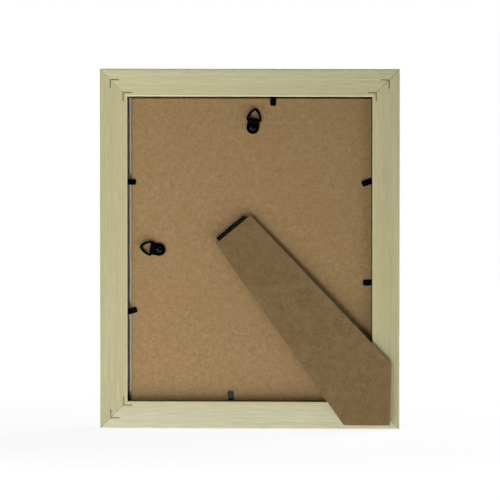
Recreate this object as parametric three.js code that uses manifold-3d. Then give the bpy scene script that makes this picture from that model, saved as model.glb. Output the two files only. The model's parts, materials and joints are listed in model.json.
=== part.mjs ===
// A wooden picture frame for an 8 x 10 inch picture, standing upright in portrait.
// Millimetres, +Z up. The front faces -Y and the back faces +Y.
// Left and right are as seen from behind, so left is +X.
// The origin is the middle of the bottom edge, halfway through the frame's depth.

import * as THREE from 'three';
import { mergeVertices } from 'three/addons/utils/BufferGeometryUtils.js';
import loadManifold from 'manifold-3d';

const wasm = await loadManifold();
wasm.setup();

// Picture, and the rebate that it lies in
const PICTURE_WIDTH = 203.2;
const PICTURE_HEIGHT = 254;
const REBATE_PLAY = 3; // the rebate is this much wider and taller than the picture

// Rails
const RAIL_WIDTH = 23; // from the outer side to the rebate wall
const LIP_WIDTH = 6; // the lip in front of the glass
const FRAME_DEPTH = 18;
const FRONT_ROUND = 3; // radius of the outer front edge
const BACK_ROUND = 1.2; // radius of the outer back edge
const WALL_ROUND = 0.6; // radius of the rebate wall's edge
const SIGHT_EDGE = 3; // flat edge of the lip, square to the glass
const SLOPE_WIDTH = 10; // curved band from the front face down to the sight edge
const SLOPE_TURN = 3.3; // from the sight edge to where the curve's end tangents meet
const MITRE_GAP = 0.3;

// Layers in the rebate, from the lip to the back
const GLASS_THICKNESS = 2;
const SHEET_THICKNESS = 0.3;
const BOARD_THICKNESS = 3;
const BOARD_LEFT_GAP = 3.2; // the board lies loose, towards the right and the bottom
const BOARD_RIGHT_GAP = 0.5;
const BOARD_TOP_GAP = 1.6;
const BOARD_BOTTOM_GAP = 0.5;
const BOARD_RECESS = 4.6; // the board's back face lies this far below the rails' back
const LAYER_GAP = 0.1;

// V-nails across the mitres
const NAIL_LEG = 7;
const NAIL_THICKNESS = 0.6;
const NAIL_DEPTH = 9;
const NAIL_SUNK = 0.5;
const NAIL_FROM_SIDE = 8.9; // the outer nail's corner, from both outer sides
const NAIL_FROM_WALL = 3.3; // the inner nail's corner, from both rebate walls
const WOOD_CLEARANCE = 0.2; // round steel that is driven into wood

// Flexible tabs that hold the board in
const TAB_LENGTH = 16;
const TAB_WIDTH = 5;
const TAB_THICKNESS = 0.5;
const TAB_CORNER = 0.7;
const TAB_BEND = 1.6; // from the wall to the line where the tongue bends
const TAB_BEND_GAP = 0.3;
// Each tab's place along its rail from the rail's middle, its reach over the board and its slant
const TABS = [
  { side: 'top', along: -19.6, reach: 8, slant: 0 },
  { side: 'bottom', along: -16, reach: 8.4, slant: 3 },
  { side: 'left', along: -56.3, reach: 7.2, slant: 0 },
  { side: 'left', along: 53.3, reach: 8.2, slant: 15 },
  { side: 'right', along: 57.9, reach: 9.3, slant: 20 },
  { side: 'right', along: -28.1, reach: 7.9, slant: 0 },
];

// Easel leg, slanted so that it props the frame up in portrait and in landscape
const LEG_SLANT = 39.5; // degrees
const LEG_TOP_WIDTH = 37.9;
const LEG_SHIFT = 1.1; // the leg's middle, to the right of the pin's middle
const LEG_FLARE = 4.2; // degrees, each long edge
const LEG_THICKNESS = 2.5;
const LEG_CORNER = 1;
const LEG_FOOT_RISE = 3.4; // foot edge above the frame's bottom edge
const LEG_FOOT_INSET = 7.8; // foot corner inside the frame's right edge
const LEG_FOOT_TILT = 1; // degrees, how far the right foot edge leans outwards going up
const LEG_SEAT_GAP = 0.3; // between the folded leg and the rails' back
const LEG_OPENING = 35; // degrees, where the stop heel meets the board

// Hinge of the leg
const HINGE_X = 16; // from the frame's middle
const HINGE_Z = 168.9; // above the bottom edge
const BARREL_LENGTH = 29;
const BARREL_RADIUS = 1.6;
const MIDDLE_KNUCKLE = 10;
const KNUCKLE_GAP = 0.3;
const PIN_RADIUS = 0.6;
const PIN_CLEARANCE = 0.15;
const LEAF_LENGTH = 14;
const LEAF_THICKNESS = 0.4;
const LEAF_GAP = 0.35; // between the two leaves
const HEEL_LENGTH = 1;
const HEEL_THICKNESS = 0.7;
const HINGE_RIVET_SPREAD = 9;
const LEG_RIVET_DOWN = 7.5; // from the pin's axis
const BOARD_RIVET_DOWN = 10.7;
const HINGE_RIVET_HEAD = 1.6;
const HINGE_RIVET_HEAD_HEIGHT = 0.2;
const HINGE_RIVET_SHANK = 0.8;
const HINGE_RIVET_BITE = 1.8; // how deep a shank sits in the fibreboard
const RIVET_CLEARANCE = 0.15;
const DOME_FULLNESS = 0.9; // how far out a rivet's dome stays full, as a share of its head's radius

// Hangers: a strap folded round a triangle ring, on one rivet
const STRAP_WIDTH = 10.4;
const STRAP_THICKNESS = 0.65;
const STRAP_BAR = 6.4; // from the rivet to the ring's bar
const STRAP_RAMP = 2.6; // from the bar to where the two layers lie flat and the strap is widest
const STRAP_NECK = 1.9; // from the bar to where the strap has narrowed to fit between the ring's legs
const WIRE_RADIUS = 0.8;
const RING_CLEARANCE = 0.25;
const RING_WIDTH = 11.5; // along the bar, between the wire's centre lines
const RING_HEIGHT = 9.8;
const RING_BOW = 1.9; // how far the point that a leg bends round lies outside the straight leg
const RING_CORNER = 1.6; // bend of the wire's centre line
const RING_APEX = 1.6;
const RING_SPLIT = 0.4; // between the wire's ends, inside the loop
const RING_SEAT_GAP = 0.3;
const HANGER_RIVET_HEAD = 2.6;
const HANGER_RIVET_DOME = 1.1;
const HANGER_RIVET_SHANK = 1.4;
const HANGER_RIVET_TAIL = 2.1;
const HANGER_RIVET_TAIL_HEIGHT = 0.6;
const HANGER_SLIP = 0.05; // between the strap and the rivet's head
// Each hanger's rivet from the rebate wall and along it from the middle, and the way its ring points
const HANGERS = [
  { name: 'portrait', wall: 'top', inset: 26.5, along: -2.5, points: -8 },
  { name: 'landscape', wall: 'left', inset: 26.8, along: 0.7, points: 81 },
];

// Mesh fineness
const ARC_STEPS = 5;
const ROUND_SIDES = 20;
const WIRE_SIDES = 8;
const WIRE_STEPS = 76;
const OVERCUT = 2; // how far a cutting shape runs past a surface

// Worked-out places
const rebateWidth = PICTURE_WIDTH + REBATE_PLAY;
const rebateHeight = PICTURE_HEIGHT + REBATE_PLAY;
const frameWidth = rebateWidth + 2 * RAIL_WIDTH;
const frameHeight = rebateHeight + 2 * RAIL_WIDTH;
const backY = FRAME_DEPTH / 2;
const frontY = -FRAME_DEPTH / 2;
const boardBackY = backY - BOARD_RECESS;
const boardFrontY = boardBackY - BOARD_THICKNESS;
const sheetFrontY = boardFrontY - LAYER_GAP - SHEET_THICKNESS;
const glassFrontY = sheetFrontY - LAYER_GAP - GLASS_THICKNESS;
const lipY = glassFrontY - LAYER_GAP;
const radians = THREE.MathUtils.degToRad;

const FINISHES = {
  wood: { color: '#bdb791', roughness: 0.75, metalness: 0 },
  glass: { color: '#dde6e6', roughness: 0.05, metalness: 0, transparent: true, opacity: 0.35 },
  paper: { color: '#f1f0ec', roughness: 0.9, metalness: 0 },
  board: { color: '#967b56', roughness: 0.85, metalness: 0 },
  leg: { color: '#766042', roughness: 0.8, metalness: 0 },
  steel: { color: '#8f9093', roughness: 0.45, metalness: 1 },
  blackSteel: { color: '#141519', roughness: 0.4, metalness: 0.7 },
};

function part(name, geometry, finish) {
  geometry.computeVertexNormals();
  const mesh = new THREE.Mesh(geometry, new THREE.MeshStandardMaterial(FINISHES[finish]));
  mesh.name = name;
  return mesh;
}

// Boolean work: a closed geometry becomes a solid, and a solid becomes a geometry again

function toSolid(geometry) {
  const bare = geometry.clone();
  bare.deleteAttribute('normal');
  bare.deleteAttribute('uv');
  const merged = mergeVertices(bare);
  const vertProperties = new Float32Array(merged.attributes.position.array);
  const triVerts = new Uint32Array(merged.index.array);
  return new wasm.Manifold(new wasm.Mesh({ numProp: 3, vertProperties, triVerts }));
}

function toGeometry(solid) {
  const mesh = solid.getMesh();
  const geometry = new THREE.BufferGeometry();
  geometry.setAttribute('position', new THREE.BufferAttribute(mesh.vertProperties, 3));
  geometry.setIndex(new THREE.BufferAttribute(mesh.triVerts, 1));
  return geometry;
}

function shape(body, { join = [], keep = [], cut = [] }) {
  let solid = toSolid(body);
  for (const piece of join) solid = solid.add(toSolid(piece));
  for (const piece of keep) solid = solid.intersect(toSolid(piece));
  for (const piece of cut) solid = solid.subtract(toSolid(piece));
  return toGeometry(solid);
}

// Basic forms

// A box given by its lowest and highest corner
function block(low, high) {
  const size = high.map((value, axis) => value - low[axis]);
  const middle = high.map((value, axis) => (value + low[axis]) / 2);
  return new THREE.BoxGeometry(...size).translate(...middle);
}

// An outline in X and Z, thick along Y from the given level upwards
function plate(outline, level, thickness) {
  const options = { depth: thickness, bevelEnabled: false, curveSegments: ARC_STEPS };
  return new THREE.ExtrudeGeometry(outline, options).rotateX(Math.PI / 2).translate(0, level + thickness, 0);
}

// A round bar along X, centred on the origin
function barAlongX(radius, length) {
  return new THREE.CylinderGeometry(radius, radius, length, ROUND_SIDES).rotateZ(Math.PI / 2);
}

// A round bar along Y between two levels, at the given X and Z
function barAlongY(radius, lowY, highY, x = 0, z = 0) {
  const bar = new THREE.CylinderGeometry(radius, radius, highY - lowY, ROUND_SIDES);
  return bar.translate(x, (lowY + highY) / 2, z);
}

// A closed outline of straight edges with its corners rounded off
function roundedOutline(corners, radius) {
  const outline = new THREE.Shape();
  corners.forEach((corner, index) => {
    const before = corners.at(index - 1);
    const after = corners[(index + 1) % corners.length];
    const start = corner.clone().add(before.clone().sub(corner).setLength(radius));
    const end = corner.clone().add(after.clone().sub(corner).setLength(radius));
    if (index === 0) outline.moveTo(start.x, start.y);
    else outline.lineTo(start.x, start.y);
    outline.quadraticCurveTo(corner.x, corner.y, end.x, end.y);
  });
  return outline;
}

// Rails. In a rail's own space X runs inwards from its outer side, Y through the frame's depth
// and Z along the rail from its starting corner.

const SIDES = [
  { name: 'bottom', corner: 'bottom_left', turn: -90, start: [frameWidth / 2, 0], length: frameWidth },
  { name: 'right', corner: 'bottom_right', turn: 0, start: [-frameWidth / 2, 0], length: frameHeight },
  { name: 'top', corner: 'top_right', turn: 90, start: [-frameWidth / 2, frameHeight], length: frameWidth },
  { name: 'left', corner: 'top_left', turn: 180, start: [frameWidth / 2, frameHeight], length: frameHeight },
];

function railProfile() {
  const sightX = RAIL_WIDTH + LIP_WIDTH;
  const profile = new THREE.Shape();
  profile.absarc(FRONT_ROUND, frontY + FRONT_ROUND, FRONT_ROUND, Math.PI, 1.5 * Math.PI, false);
  profile.lineTo(sightX - SLOPE_WIDTH, frontY);
  profile.quadraticCurveTo(sightX - SLOPE_TURN, frontY, sightX, lipY - SIGHT_EDGE);
  profile.lineTo(sightX, lipY);
  profile.lineTo(RAIL_WIDTH, lipY);
  profile.absarc(RAIL_WIDTH - WALL_ROUND, backY - WALL_ROUND, WALL_ROUND, 0, Math.PI / 2, false);
  profile.absarc(BACK_ROUND, backY - BACK_ROUND, BACK_ROUND, Math.PI / 2, Math.PI, false);
  return profile;
}

// The profile carried along the rail, with both ends sheared to 45 degrees
function mitredBar(length) {
  const options = { depth: length, bevelEnabled: false, curveSegments: ARC_STEPS };
  const bar = new THREE.ExtrudeGeometry(railProfile(), options);
  const { position } = bar.attributes;
  for (let i = 0; i < position.count; i += 1) {
    const inwards = position.getX(i) + MITRE_GAP / Math.SQRT2;
    const atStart = position.getZ(i) < length / 2;
    position.setZ(i, atStart ? inwards : length - inwards);
  }
  return bar;
}

// V-nails: a right angle whose corner lies on the mitre, with one leg in each rail

const NAILS = [
  { name: 'outer', corner: NAIL_FROM_SIDE },
  { name: 'inner', corner: RAIL_WIDTH - NAIL_FROM_WALL },
];

function nailOutline(corner, margin) {
  const half = NAIL_THICKNESS / 2 + margin;
  const outside = corner - half;
  const inside = corner + half;
  const tip = corner + NAIL_LEG + margin;
  const points = [
    [outside, outside],
    [tip, outside],
    [tip, inside],
    [inside, inside],
    [inside, tip],
    [outside, tip],
  ];
  return new THREE.Shape(points.map(([x, z]) => new THREE.Vector2(x, z)));
}

function nail(corner) {
  return plate(nailOutline(corner, 0), backY - NAIL_SUNK - NAIL_DEPTH, NAIL_DEPTH);
}

function nailSlots(corner, length) {
  const floorY = backY - NAIL_SUNK - NAIL_DEPTH - WOOD_CLEARANCE;
  const slot = plate(nailOutline(corner, WOOD_CLEARANCE), floorY, backY + OVERCUT - floorY);
  // At the far end the rail's own leg of the nail runs back along it, which a quarter turn gives
  const farSlot = slot.clone().rotateY(Math.PI / 2).translate(0, 0, length);
  return [slot, farSlot];
}

// Tabs. In a tab's own space the origin is where it leaves the wall, X runs out over the board,
// Y away from the board and Z across the tab.

const tabY = boardBackY + LAYER_GAP;

function tabPlace(tab, length) {
  const turn = new THREE.Matrix4().makeRotationY(radians(tab.slant));
  return turn.setPosition(RAIL_WIDTH, tabY, length / 2 + tab.along);
}

function tabTang(tab) {
  const low = [tab.reach - TAB_LENGTH, 0, -TAB_WIDTH / 2];
  const high = [TAB_BEND - TAB_BEND_GAP / 2, TAB_THICKNESS, TAB_WIDTH / 2];
  return block(low, high);
}

function tabSlot(tab) {
  const half = TAB_WIDTH / 2 + WOOD_CLEARANCE;
  const low = [tab.reach - TAB_LENGTH - WOOD_CLEARANCE, -WOOD_CLEARANCE, -half];
  const high = [OVERCUT, TAB_THICKNESS + WOOD_CLEARANCE, half];
  return block(low, high);
}

// The tongue's own origin is on its bend line, at the face away from the board
function tabTongue(tab) {
  const rootX = TAB_BEND_GAP / 2;
  const tipX = tab.reach - TAB_BEND;
  const half = TAB_WIDTH / 2;
  const corners = [[rootX, -half], [tipX, -half], [tipX, half], [rootX, half]];
  const outline = roundedOutline(corners.map(([x, z]) => new THREE.Vector2(x, z)), TAB_CORNER);
  return plate(outline, -TAB_THICKNESS, TAB_THICKNESS);
}

function makeSide(side) {
  const group = new THREE.Group();
  group.rotation.y = radians(side.turn);
  group.position.set(side.start[0], 0, side.start[1]);

  const tabs = TABS.filter((tab) => tab.side === side.name);
  const nailCuts = NAILS.flatMap((one) => nailSlots(one.corner, side.length));
  const tabCuts = tabs.map((tab) => tabSlot(tab).applyMatrix4(tabPlace(tab, side.length)));
  const rail = shape(mitredBar(side.length), { cut: [...nailCuts, ...tabCuts] });
  group.add(part(`${side.name}_rail`, rail, 'wood'));

  for (const one of NAILS) {
    group.add(part(`v_nail_${side.corner}_${one.name}`, nail(one.corner), 'steel'));
  }

  tabs.forEach((tab, index) => {
    const label = tabs.length > 1 ? `${side.name}_${index + 1}` : side.name;
    const holder = new THREE.Group();
    holder.applyMatrix4(tabPlace(tab, side.length));
    const tongue = part(`tab_tongue_${label}`, tabTongue(tab), 'blackSteel');
    tongue.position.set(TAB_BEND, TAB_THICKNESS, 0);
    holder.add(part(`tab_tang_${label}`, tabTang(tab), 'blackSteel'), tongue);
    group.add(holder);
  });
  return group;
}

// Hinge and easel leg. In their own space the origin is the middle of the pin, X runs along the pin,
// Y away from the board and Z up the leg, so the leg hangs down along -Z.

const hingeY = boardBackY + LAYER_GAP + BARREL_RADIUS;
const boardInHinge = boardBackY - hingeY;
const boardLeafTop = LEAF_THICKNESS - BARREL_RADIUS;
const legLeafBottom = boardLeafTop + LEAF_GAP;
const legLeafTop = legLeafBottom + LEAF_THICKNESS;
const legUnderside = legLeafTop + LAYER_GAP;
const legEnd = BARREL_RADIUS + KNUCKLE_GAP;

// In the leg's plane X runs along the pin and Y up the leg. The frame's level and upright ways lie in it so:
const level = new THREE.Vector2(1, 0).rotateAround(new THREE.Vector2(), radians(LEG_SLANT));
const upright = new THREE.Vector2(0, 1).rotateAround(new THREE.Vector2(), radians(LEG_SLANT));

function inLegPlane(frameX, frameZ) {
  return level.clone().multiplyScalar(frameX - HINGE_X).addScaledVector(upright, frameZ - HINGE_Z);
}

// The upper end of a long edge of the leg, edge 1 at +X or edge -1 at -X
function legTop(edge) {
  return new THREE.Vector2((edge * LEG_TOP_WIDTH) / 2 - LEG_SHIFT, -legEnd);
}

// Where a long edge of the leg meets a line
function onLegEdge(edge, point, direction) {
  const top = legTop(edge);
  const down = new THREE.Vector2(edge * Math.tan(radians(LEG_FLARE)), -1);
  const share = point.clone().sub(top).cross(direction) / down.cross(direction);
  return top.addScaledVector(down, share);
}

function legOutline() {
  const foot = inLegPlane(LEG_FOOT_INSET - frameWidth / 2, LEG_FOOT_RISE);
  const sideFoot = upright.clone().rotateAround(new THREE.Vector2(), radians(LEG_FOOT_TILT));
  const corners = [
    legTop(1),
    legTop(-1),
    onLegEdge(-1, foot, sideFoot),
    foot,
    onLegEdge(1, foot, level),
  ];
  return roundedOutline(corners, LEG_CORNER);
}

// The folded leg leans out just enough to pass over the rails that it crosses
function legLean() {
  const overRight = onLegEdge(-1, inLegPlane(-rebateWidth / 2, 0), upright);
  const overBottom = onLegEdge(1, inLegPlane(0, RAIL_WIDTH), level);
  const down = Math.min(-overRight.y, -overBottom.y);
  const rise = backY + LEG_SEAT_GAP - hingeY;
  return Math.asin(rise / Math.hypot(down, legUnderside)) - Math.atan2(legUnderside, down);
}

const leafHalf = BARREL_LENGTH / 2;
const endKnuckle = (BARREL_LENGTH - MIDDLE_KNUCKLE) / 2 - KNUCKLE_GAP;
const endKnuckleX = leafHalf - endKnuckle / 2;
const boreRadius = PIN_RADIUS + PIN_CLEARANCE;
const rivetXs = [-HINGE_RIVET_SPREAD / 2, HINGE_RIVET_SPREAD / 2];

function rivetHoles(down, lowY, highY) {
  return rivetXs.map((x) => barAlongY(HINGE_RIVET_SHANK + RIVET_CLEARANCE, lowY, highY, x, -down));
}

function boardLeaf() {
  const leaf = block([-leafHalf, -BARREL_RADIUS, -LEAF_LENGTH], [leafHalf, boardLeafTop, 0]);
  const knuckleAt = (x) => barAlongX(BARREL_RADIUS, endKnuckle).translate(x, 0, 0);
  const middle = MIDDLE_KNUCKLE / 2 + KNUCKLE_GAP;
  const notch = block([-middle, -legEnd, -legEnd], [middle, legEnd, legEnd]);
  const bore = barAlongX(boreRadius, BARREL_LENGTH + OVERCUT);
  const holes = rivetHoles(BOARD_RIVET_DOWN, -BARREL_RADIUS - OVERCUT, boardLeafTop + OVERCUT);
  return shape(leaf, {
    join: [knuckleAt(-endKnuckleX), knuckleAt(endKnuckleX)],
    cut: [notch, bore, ...holes],
  });
}

// The heel stands off the middle knuckle and meets the board when the leg is fully open
function legLeaf() {
  const leaf = block([-leafHalf, legLeafBottom, -LEAF_LENGTH], [leafHalf, legLeafTop, 0]);
  const knuckle = barAlongX(BARREL_RADIUS, MIDDLE_KNUCKLE);
  const half = MIDDLE_KNUCKLE / 2;
  const heel = block([-half, -BARREL_RADIUS, 0], [half, HEEL_THICKNESS - BARREL_RADIUS, HEEL_LENGTH]);
  heel.rotateX(-legLean() - radians(LEG_OPENING));
  const notches = [[-leafHalf - OVERCUT, -half], [half, leafHalf + OVERCUT]].map(
    ([low, high]) => block([low, -legEnd, -legEnd], [high, legEnd, legEnd]),
  );
  const bore = barAlongX(boreRadius, BARREL_LENGTH);
  const holes = rivetHoles(LEG_RIVET_DOWN, legLeafBottom - OVERCUT, legLeafTop + OVERCUT);
  return shape(leaf, { join: [knuckle, heel], cut: [...notches, bore, ...holes] });
}

// A low domed head above Y = 0 and a shank below it
function hingeRivet(leafAndGap) {
  const dome = new THREE.Path();
  dome.moveTo(HINGE_RIVET_HEAD, 0);
  const domeTop = HINGE_RIVET_HEAD_HEIGHT;
  dome.quadraticCurveTo(HINGE_RIVET_HEAD * DOME_FULLNESS, domeTop, 0, domeTop);
  const shankEnd = -leafAndGap - HINGE_RIVET_BITE;
  const shank = [[0, shankEnd], [HINGE_RIVET_SHANK, shankEnd], [HINGE_RIVET_SHANK, 0]];
  const points = [...shank.map(([x, y]) => new THREE.Vector2(x, y)), ...dome.getPoints(ARC_STEPS)];
  return new THREE.LatheGeometry(points, ROUND_SIDES);
}

function makeEasel() {
  const easel = new THREE.Group();
  easel.position.set(HINGE_X, hingeY, HINGE_Z);
  easel.rotation.y = radians(LEG_SLANT);
  easel.add(part('hinge_board_leaf', boardLeaf(), 'blackSteel'));
  easel.add(part('hinge_pin', barAlongX(PIN_RADIUS, BARREL_LENGTH), 'blackSteel'));

  const leg = new THREE.Group();
  leg.rotation.x = legLean();
  const holeEnd = legUnderside + HINGE_RIVET_BITE + RIVET_CLEARANCE;
  const legHoles = rivetHoles(LEG_RIVET_DOWN, legUnderside - OVERCUT, holeEnd);
  const panel = shape(plate(legOutline(), legUnderside, LEG_THICKNESS), { cut: legHoles });
  leg.add(part('easel_leg', panel, 'leg'));
  leg.add(part('hinge_leg_leaf', legLeaf(), 'blackSteel'));
  easel.add(leg);

  const leafAndGap = LEAF_THICKNESS + 2 * LAYER_GAP;
  rivetXs.forEach((x, index) => {
    const inBoard = part(`board_leaf_rivet_${index + 1}`, hingeRivet(leafAndGap), 'blackSteel');
    inBoard.position.set(x, boardLeafTop + LAYER_GAP, -BOARD_RIVET_DOWN);
    easel.add(inBoard);
    const inLeg = part(`leg_leaf_rivet_${index + 1}`, hingeRivet(leafAndGap), 'blackSteel');
    inLeg.position.set(x, legLeafBottom - LAYER_GAP, -LEG_RIVET_DOWN);
    inLeg.rotation.x = Math.PI;
    leg.add(inLeg);
  });
  return easel;
}

// Where the hinge's rivets go into the board
function hingeHolesInBoard() {
  const place = new THREE.Matrix4().makeRotationY(radians(LEG_SLANT)).setPosition(HINGE_X, hingeY, HINGE_Z);
  const floorY = boardInHinge - HINGE_RIVET_BITE - RIVET_CLEARANCE;
  const holes = rivetHoles(BOARD_RIVET_DOWN, floorY, boardInHinge + OVERCUT);
  return holes.map((hole) => hole.applyMatrix4(place));
}

// Hangers. In a hanger's own space the origin is where its rivet enters the board's back face,
// X runs along the ring's bar, Y away from the board and Z towards the ring.

const loopInside = WIRE_RADIUS + RING_CLEARANCE;
const loopOutside = loopInside + STRAP_THICKNESS;
const strapTop = LAYER_GAP + 2 * STRAP_THICKNESS;
const ringBarY = LAYER_GAP + loopOutside;
const rivetHole = HANGER_RIVET_SHANK + RIVET_CLEARANCE;
// Each leg of the ring rises from its corner, bends round its shoulder and runs on to the apex
const ringCorner = new THREE.Vector3(RING_WIDTH / 2, 0, 0);
const ringApex = new THREE.Vector3(0, 0, RING_HEIGHT);
const legBow = new THREE.Vector3(RING_HEIGHT, 0, RING_WIDTH / 2).setLength(RING_BOW);
const ringShoulder = ringCorner.clone().lerp(ringApex, 0.5).add(legBow);
// The loop fits between the legs, which close in on each other above the bar
const legSlope = (ringCorner.x - ringShoulder.x) / ringShoulder.z;
const legInside = ringCorner.x - loopOutside * legSlope - WIRE_RADIUS * Math.hypot(1, legSlope);
const loopHalf = legInside - RING_CLEARANCE;

function hangerPlace(hanger) {
  const inTop = hanger.wall === 'top';
  const x = inTop ? hanger.along : rebateWidth / 2 - hanger.inset;
  const z = inTop ? frameHeight - RAIL_WIDTH - hanger.inset : frameHeight / 2 - hanger.along;
  return { x, z };
}

// The angle round the bar at which the strap's upper layer leaves the loop for its straight ramp
const rampLength = Math.hypot(STRAP_RAMP, ringBarY - strapTop);
const rampFall = Math.atan2(ringBarY - strapTop, STRAP_RAMP);
const rampAngle = Math.PI + rampFall - Math.acos(loopOutside / rampLength);

// The two layers of the strap lie flat from the rivet to the ramp and part round the ring's bar
function hangerStrap() {
  const reach = STRAP_WIDTH / 2;
  const side = new THREE.Shape();
  side.moveTo(-reach - OVERCUT, LAYER_GAP);
  side.absarc(STRAP_BAR, ringBarY, loopOutside, -Math.PI / 2, rampAngle, false);
  side.lineTo(STRAP_BAR - STRAP_RAMP, strapTop);
  side.lineTo(-reach - OVERCUT, strapTop);
  const eye = new THREE.Path();
  eye.absarc(STRAP_BAR, ringBarY, loopInside, 0, 2 * Math.PI, true);
  side.holes.push(eye);
  const options = { depth: STRAP_WIDTH, bevelEnabled: false, curveSegments: 2 * ARC_STEPS };
  const folded = new THREE.ExtrudeGeometry(side, options).rotateY(-Math.PI / 2).translate(reach, 0, 0);

  const loopEnd = STRAP_BAR + loopOutside + OVERCUT;
  const plan = new THREE.Shape();
  plan.absarc(0, 0, reach, Math.PI, 2 * Math.PI, false);
  plan.lineTo(reach, STRAP_BAR - STRAP_RAMP);
  plan.lineTo(loopHalf, STRAP_BAR - STRAP_NECK);
  plan.lineTo(loopHalf, loopEnd);
  plan.lineTo(-loopHalf, loopEnd);
  plan.lineTo(-loopHalf, STRAP_BAR - STRAP_NECK);
  plan.lineTo(-reach, STRAP_BAR - STRAP_RAMP);
  const trim = plate(plan, -OVERCUT, ringBarY + loopOutside + 2 * OVERCUT);
  const hole = barAlongY(rivetHole, -OVERCUT, strapTop + OVERCUT);
  return shape(folded, { keep: [trim], cut: [hole] });
}

// Wire bent into a triangle that starts and ends in the middle of its bar
function hangerRing() {
  const towards = (from, to, distance) => from.clone().add(to.clone().sub(from).setLength(distance));
  const mirrored = (point) => new THREE.Vector3(-point.x, point.y, point.z);
  const start = new THREE.Vector3(RING_SPLIT / 2, 0, 0);
  const barEnd = towards(ringCorner, start, RING_CORNER);
  const legStart = towards(ringCorner, ringShoulder, RING_CORNER);
  const legFinish = towards(ringApex, ringShoulder, RING_APEX);
  // Points that the wire runs through, and between them the points that it bends round
  const through = [barEnd, legStart, legFinish];
  const round = [ringCorner, ringShoulder];
  through.push(...through.map(mirrored).reverse());
  round.push(ringApex, ...round.map(mirrored).reverse());

  const wire = new THREE.CurvePath();
  wire.add(new THREE.LineCurve3(start, barEnd));
  round.forEach((bend, index) => {
    wire.add(new THREE.QuadraticBezierCurve3(through[index], bend, through[index + 1]));
  });
  wire.add(new THREE.LineCurve3(mirrored(barEnd), mirrored(start)));

  const section = new THREE.Shape();
  for (let side = 0; side < WIRE_SIDES; side += 1) {
    const angle = (2 * Math.PI * side) / WIRE_SIDES;
    const x = WIRE_RADIUS * Math.cos(angle);
    const y = WIRE_RADIUS * Math.sin(angle);
    if (side === 0) section.moveTo(x, y);
    else section.lineTo(x, y);
  }
  return new THREE.ExtrudeGeometry(section, { steps: WIRE_STEPS, extrudePath: wire });
}

// Domed head over the strap, a shank through the board and a flat tail in its front face
function hangerRivet() {
  const headY = strapTop + HANGER_SLIP;
  const tailEnd = LAYER_GAP - BOARD_THICKNESS;
  const tailTop = tailEnd + HANGER_RIVET_TAIL_HEIGHT;
  const foot = [
    [0, tailEnd],
    [HANGER_RIVET_TAIL, tailEnd],
    [HANGER_RIVET_TAIL, tailTop],
    [HANGER_RIVET_SHANK, tailTop],
    [HANGER_RIVET_SHANK, headY],
  ];
  const dome = new THREE.Path();
  dome.moveTo(HANGER_RIVET_HEAD, headY);
  const domeTop = headY + HANGER_RIVET_DOME;
  dome.quadraticCurveTo(HANGER_RIVET_HEAD * DOME_FULLNESS, domeTop, 0, domeTop);
  const points = [...foot.map(([x, y]) => new THREE.Vector2(x, y)), ...dome.getPoints(ARC_STEPS)];
  return new THREE.LatheGeometry(points, ROUND_SIDES);
}

function rivetHolesInBoard(hanger) {
  const { x, z } = hangerPlace(hanger);
  const through = barAlongY(rivetHole, boardFrontY - OVERCUT, boardBackY + OVERCUT, x, z);
  const recessTop = boardFrontY + LAYER_GAP + HANGER_RIVET_TAIL_HEIGHT + RIVET_CLEARANCE;
  const recess = barAlongY(HANGER_RIVET_TAIL + RIVET_CLEARANCE, boardFrontY - OVERCUT, recessTop, x, z);
  return [through, recess];
}

function makeHanger(hanger) {
  const { x, z } = hangerPlace(hanger);
  const group = new THREE.Group();
  group.position.set(x, boardBackY, z);
  group.rotation.y = radians(hanger.points);
  group.add(part(`${hanger.name}_hanger_strap`, hangerStrap(), 'blackSteel'));
  group.add(part(`${hanger.name}_hanger_rivet`, hangerRivet(), 'blackSteel'));
  const ring = part(`${hanger.name}_hanger_ring`, hangerRing(), 'blackSteel');
  ring.position.set(0, ringBarY, STRAP_BAR);
  // The ring lies back until its apex is nearly on the board
  ring.rotation.x = Math.asin((ringBarY - WIRE_RADIUS - RING_SEAT_GAP) / RING_HEIGHT);
  group.add(ring);
  return group;
}

// Layers in the rebate

// A layer as large as the picture, in the middle of the rebate
function pictureLayer(frontFaceY, thickness) {
  const middleZ = frameHeight / 2;
  const low = [-PICTURE_WIDTH / 2, frontFaceY, middleZ - PICTURE_HEIGHT / 2];
  const high = [PICTURE_WIDTH / 2, frontFaceY + thickness, middleZ + PICTURE_HEIGHT / 2];
  return block(low, high);
}

function backingBoard() {
  const low = [BOARD_RIGHT_GAP - rebateWidth / 2, boardFrontY, RAIL_WIDTH + BOARD_BOTTOM_GAP];
  const high = [rebateWidth / 2 - BOARD_LEFT_GAP, boardBackY, RAIL_WIDTH + rebateHeight - BOARD_TOP_GAP];
  const hangerHoles = HANGERS.flatMap(rivetHolesInBoard);
  return shape(block(low, high), { cut: [...hangerHoles, ...hingeHolesInBoard()] });
}

const pictureFrame = new THREE.Group();
pictureFrame.add(...SIDES.map(makeSide));
pictureFrame.add(part('glass_pane', pictureLayer(glassFrontY, GLASS_THICKNESS), 'glass'));
pictureFrame.add(part('picture_sheet', pictureLayer(sheetFrontY, SHEET_THICKNESS), 'paper'));
pictureFrame.add(part('backing_board', backingBoard(), 'board'));
pictureFrame.add(makeEasel());
pictureFrame.add(...HANGERS.map(makeHanger));

export default pictureFrame;
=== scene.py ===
"""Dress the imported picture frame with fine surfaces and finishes, and set up its studio and camera.

The frame stands upright in portrait with its back towards +Y. Left and right are as seen from behind,
so left is +X. Lengths are in millimetres unless a name or a comment says otherwise.
"""

from __future__ import annotations

import json
import logging
import math
from dataclasses import dataclass, field
from enum import Enum
from typing import Any

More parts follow.
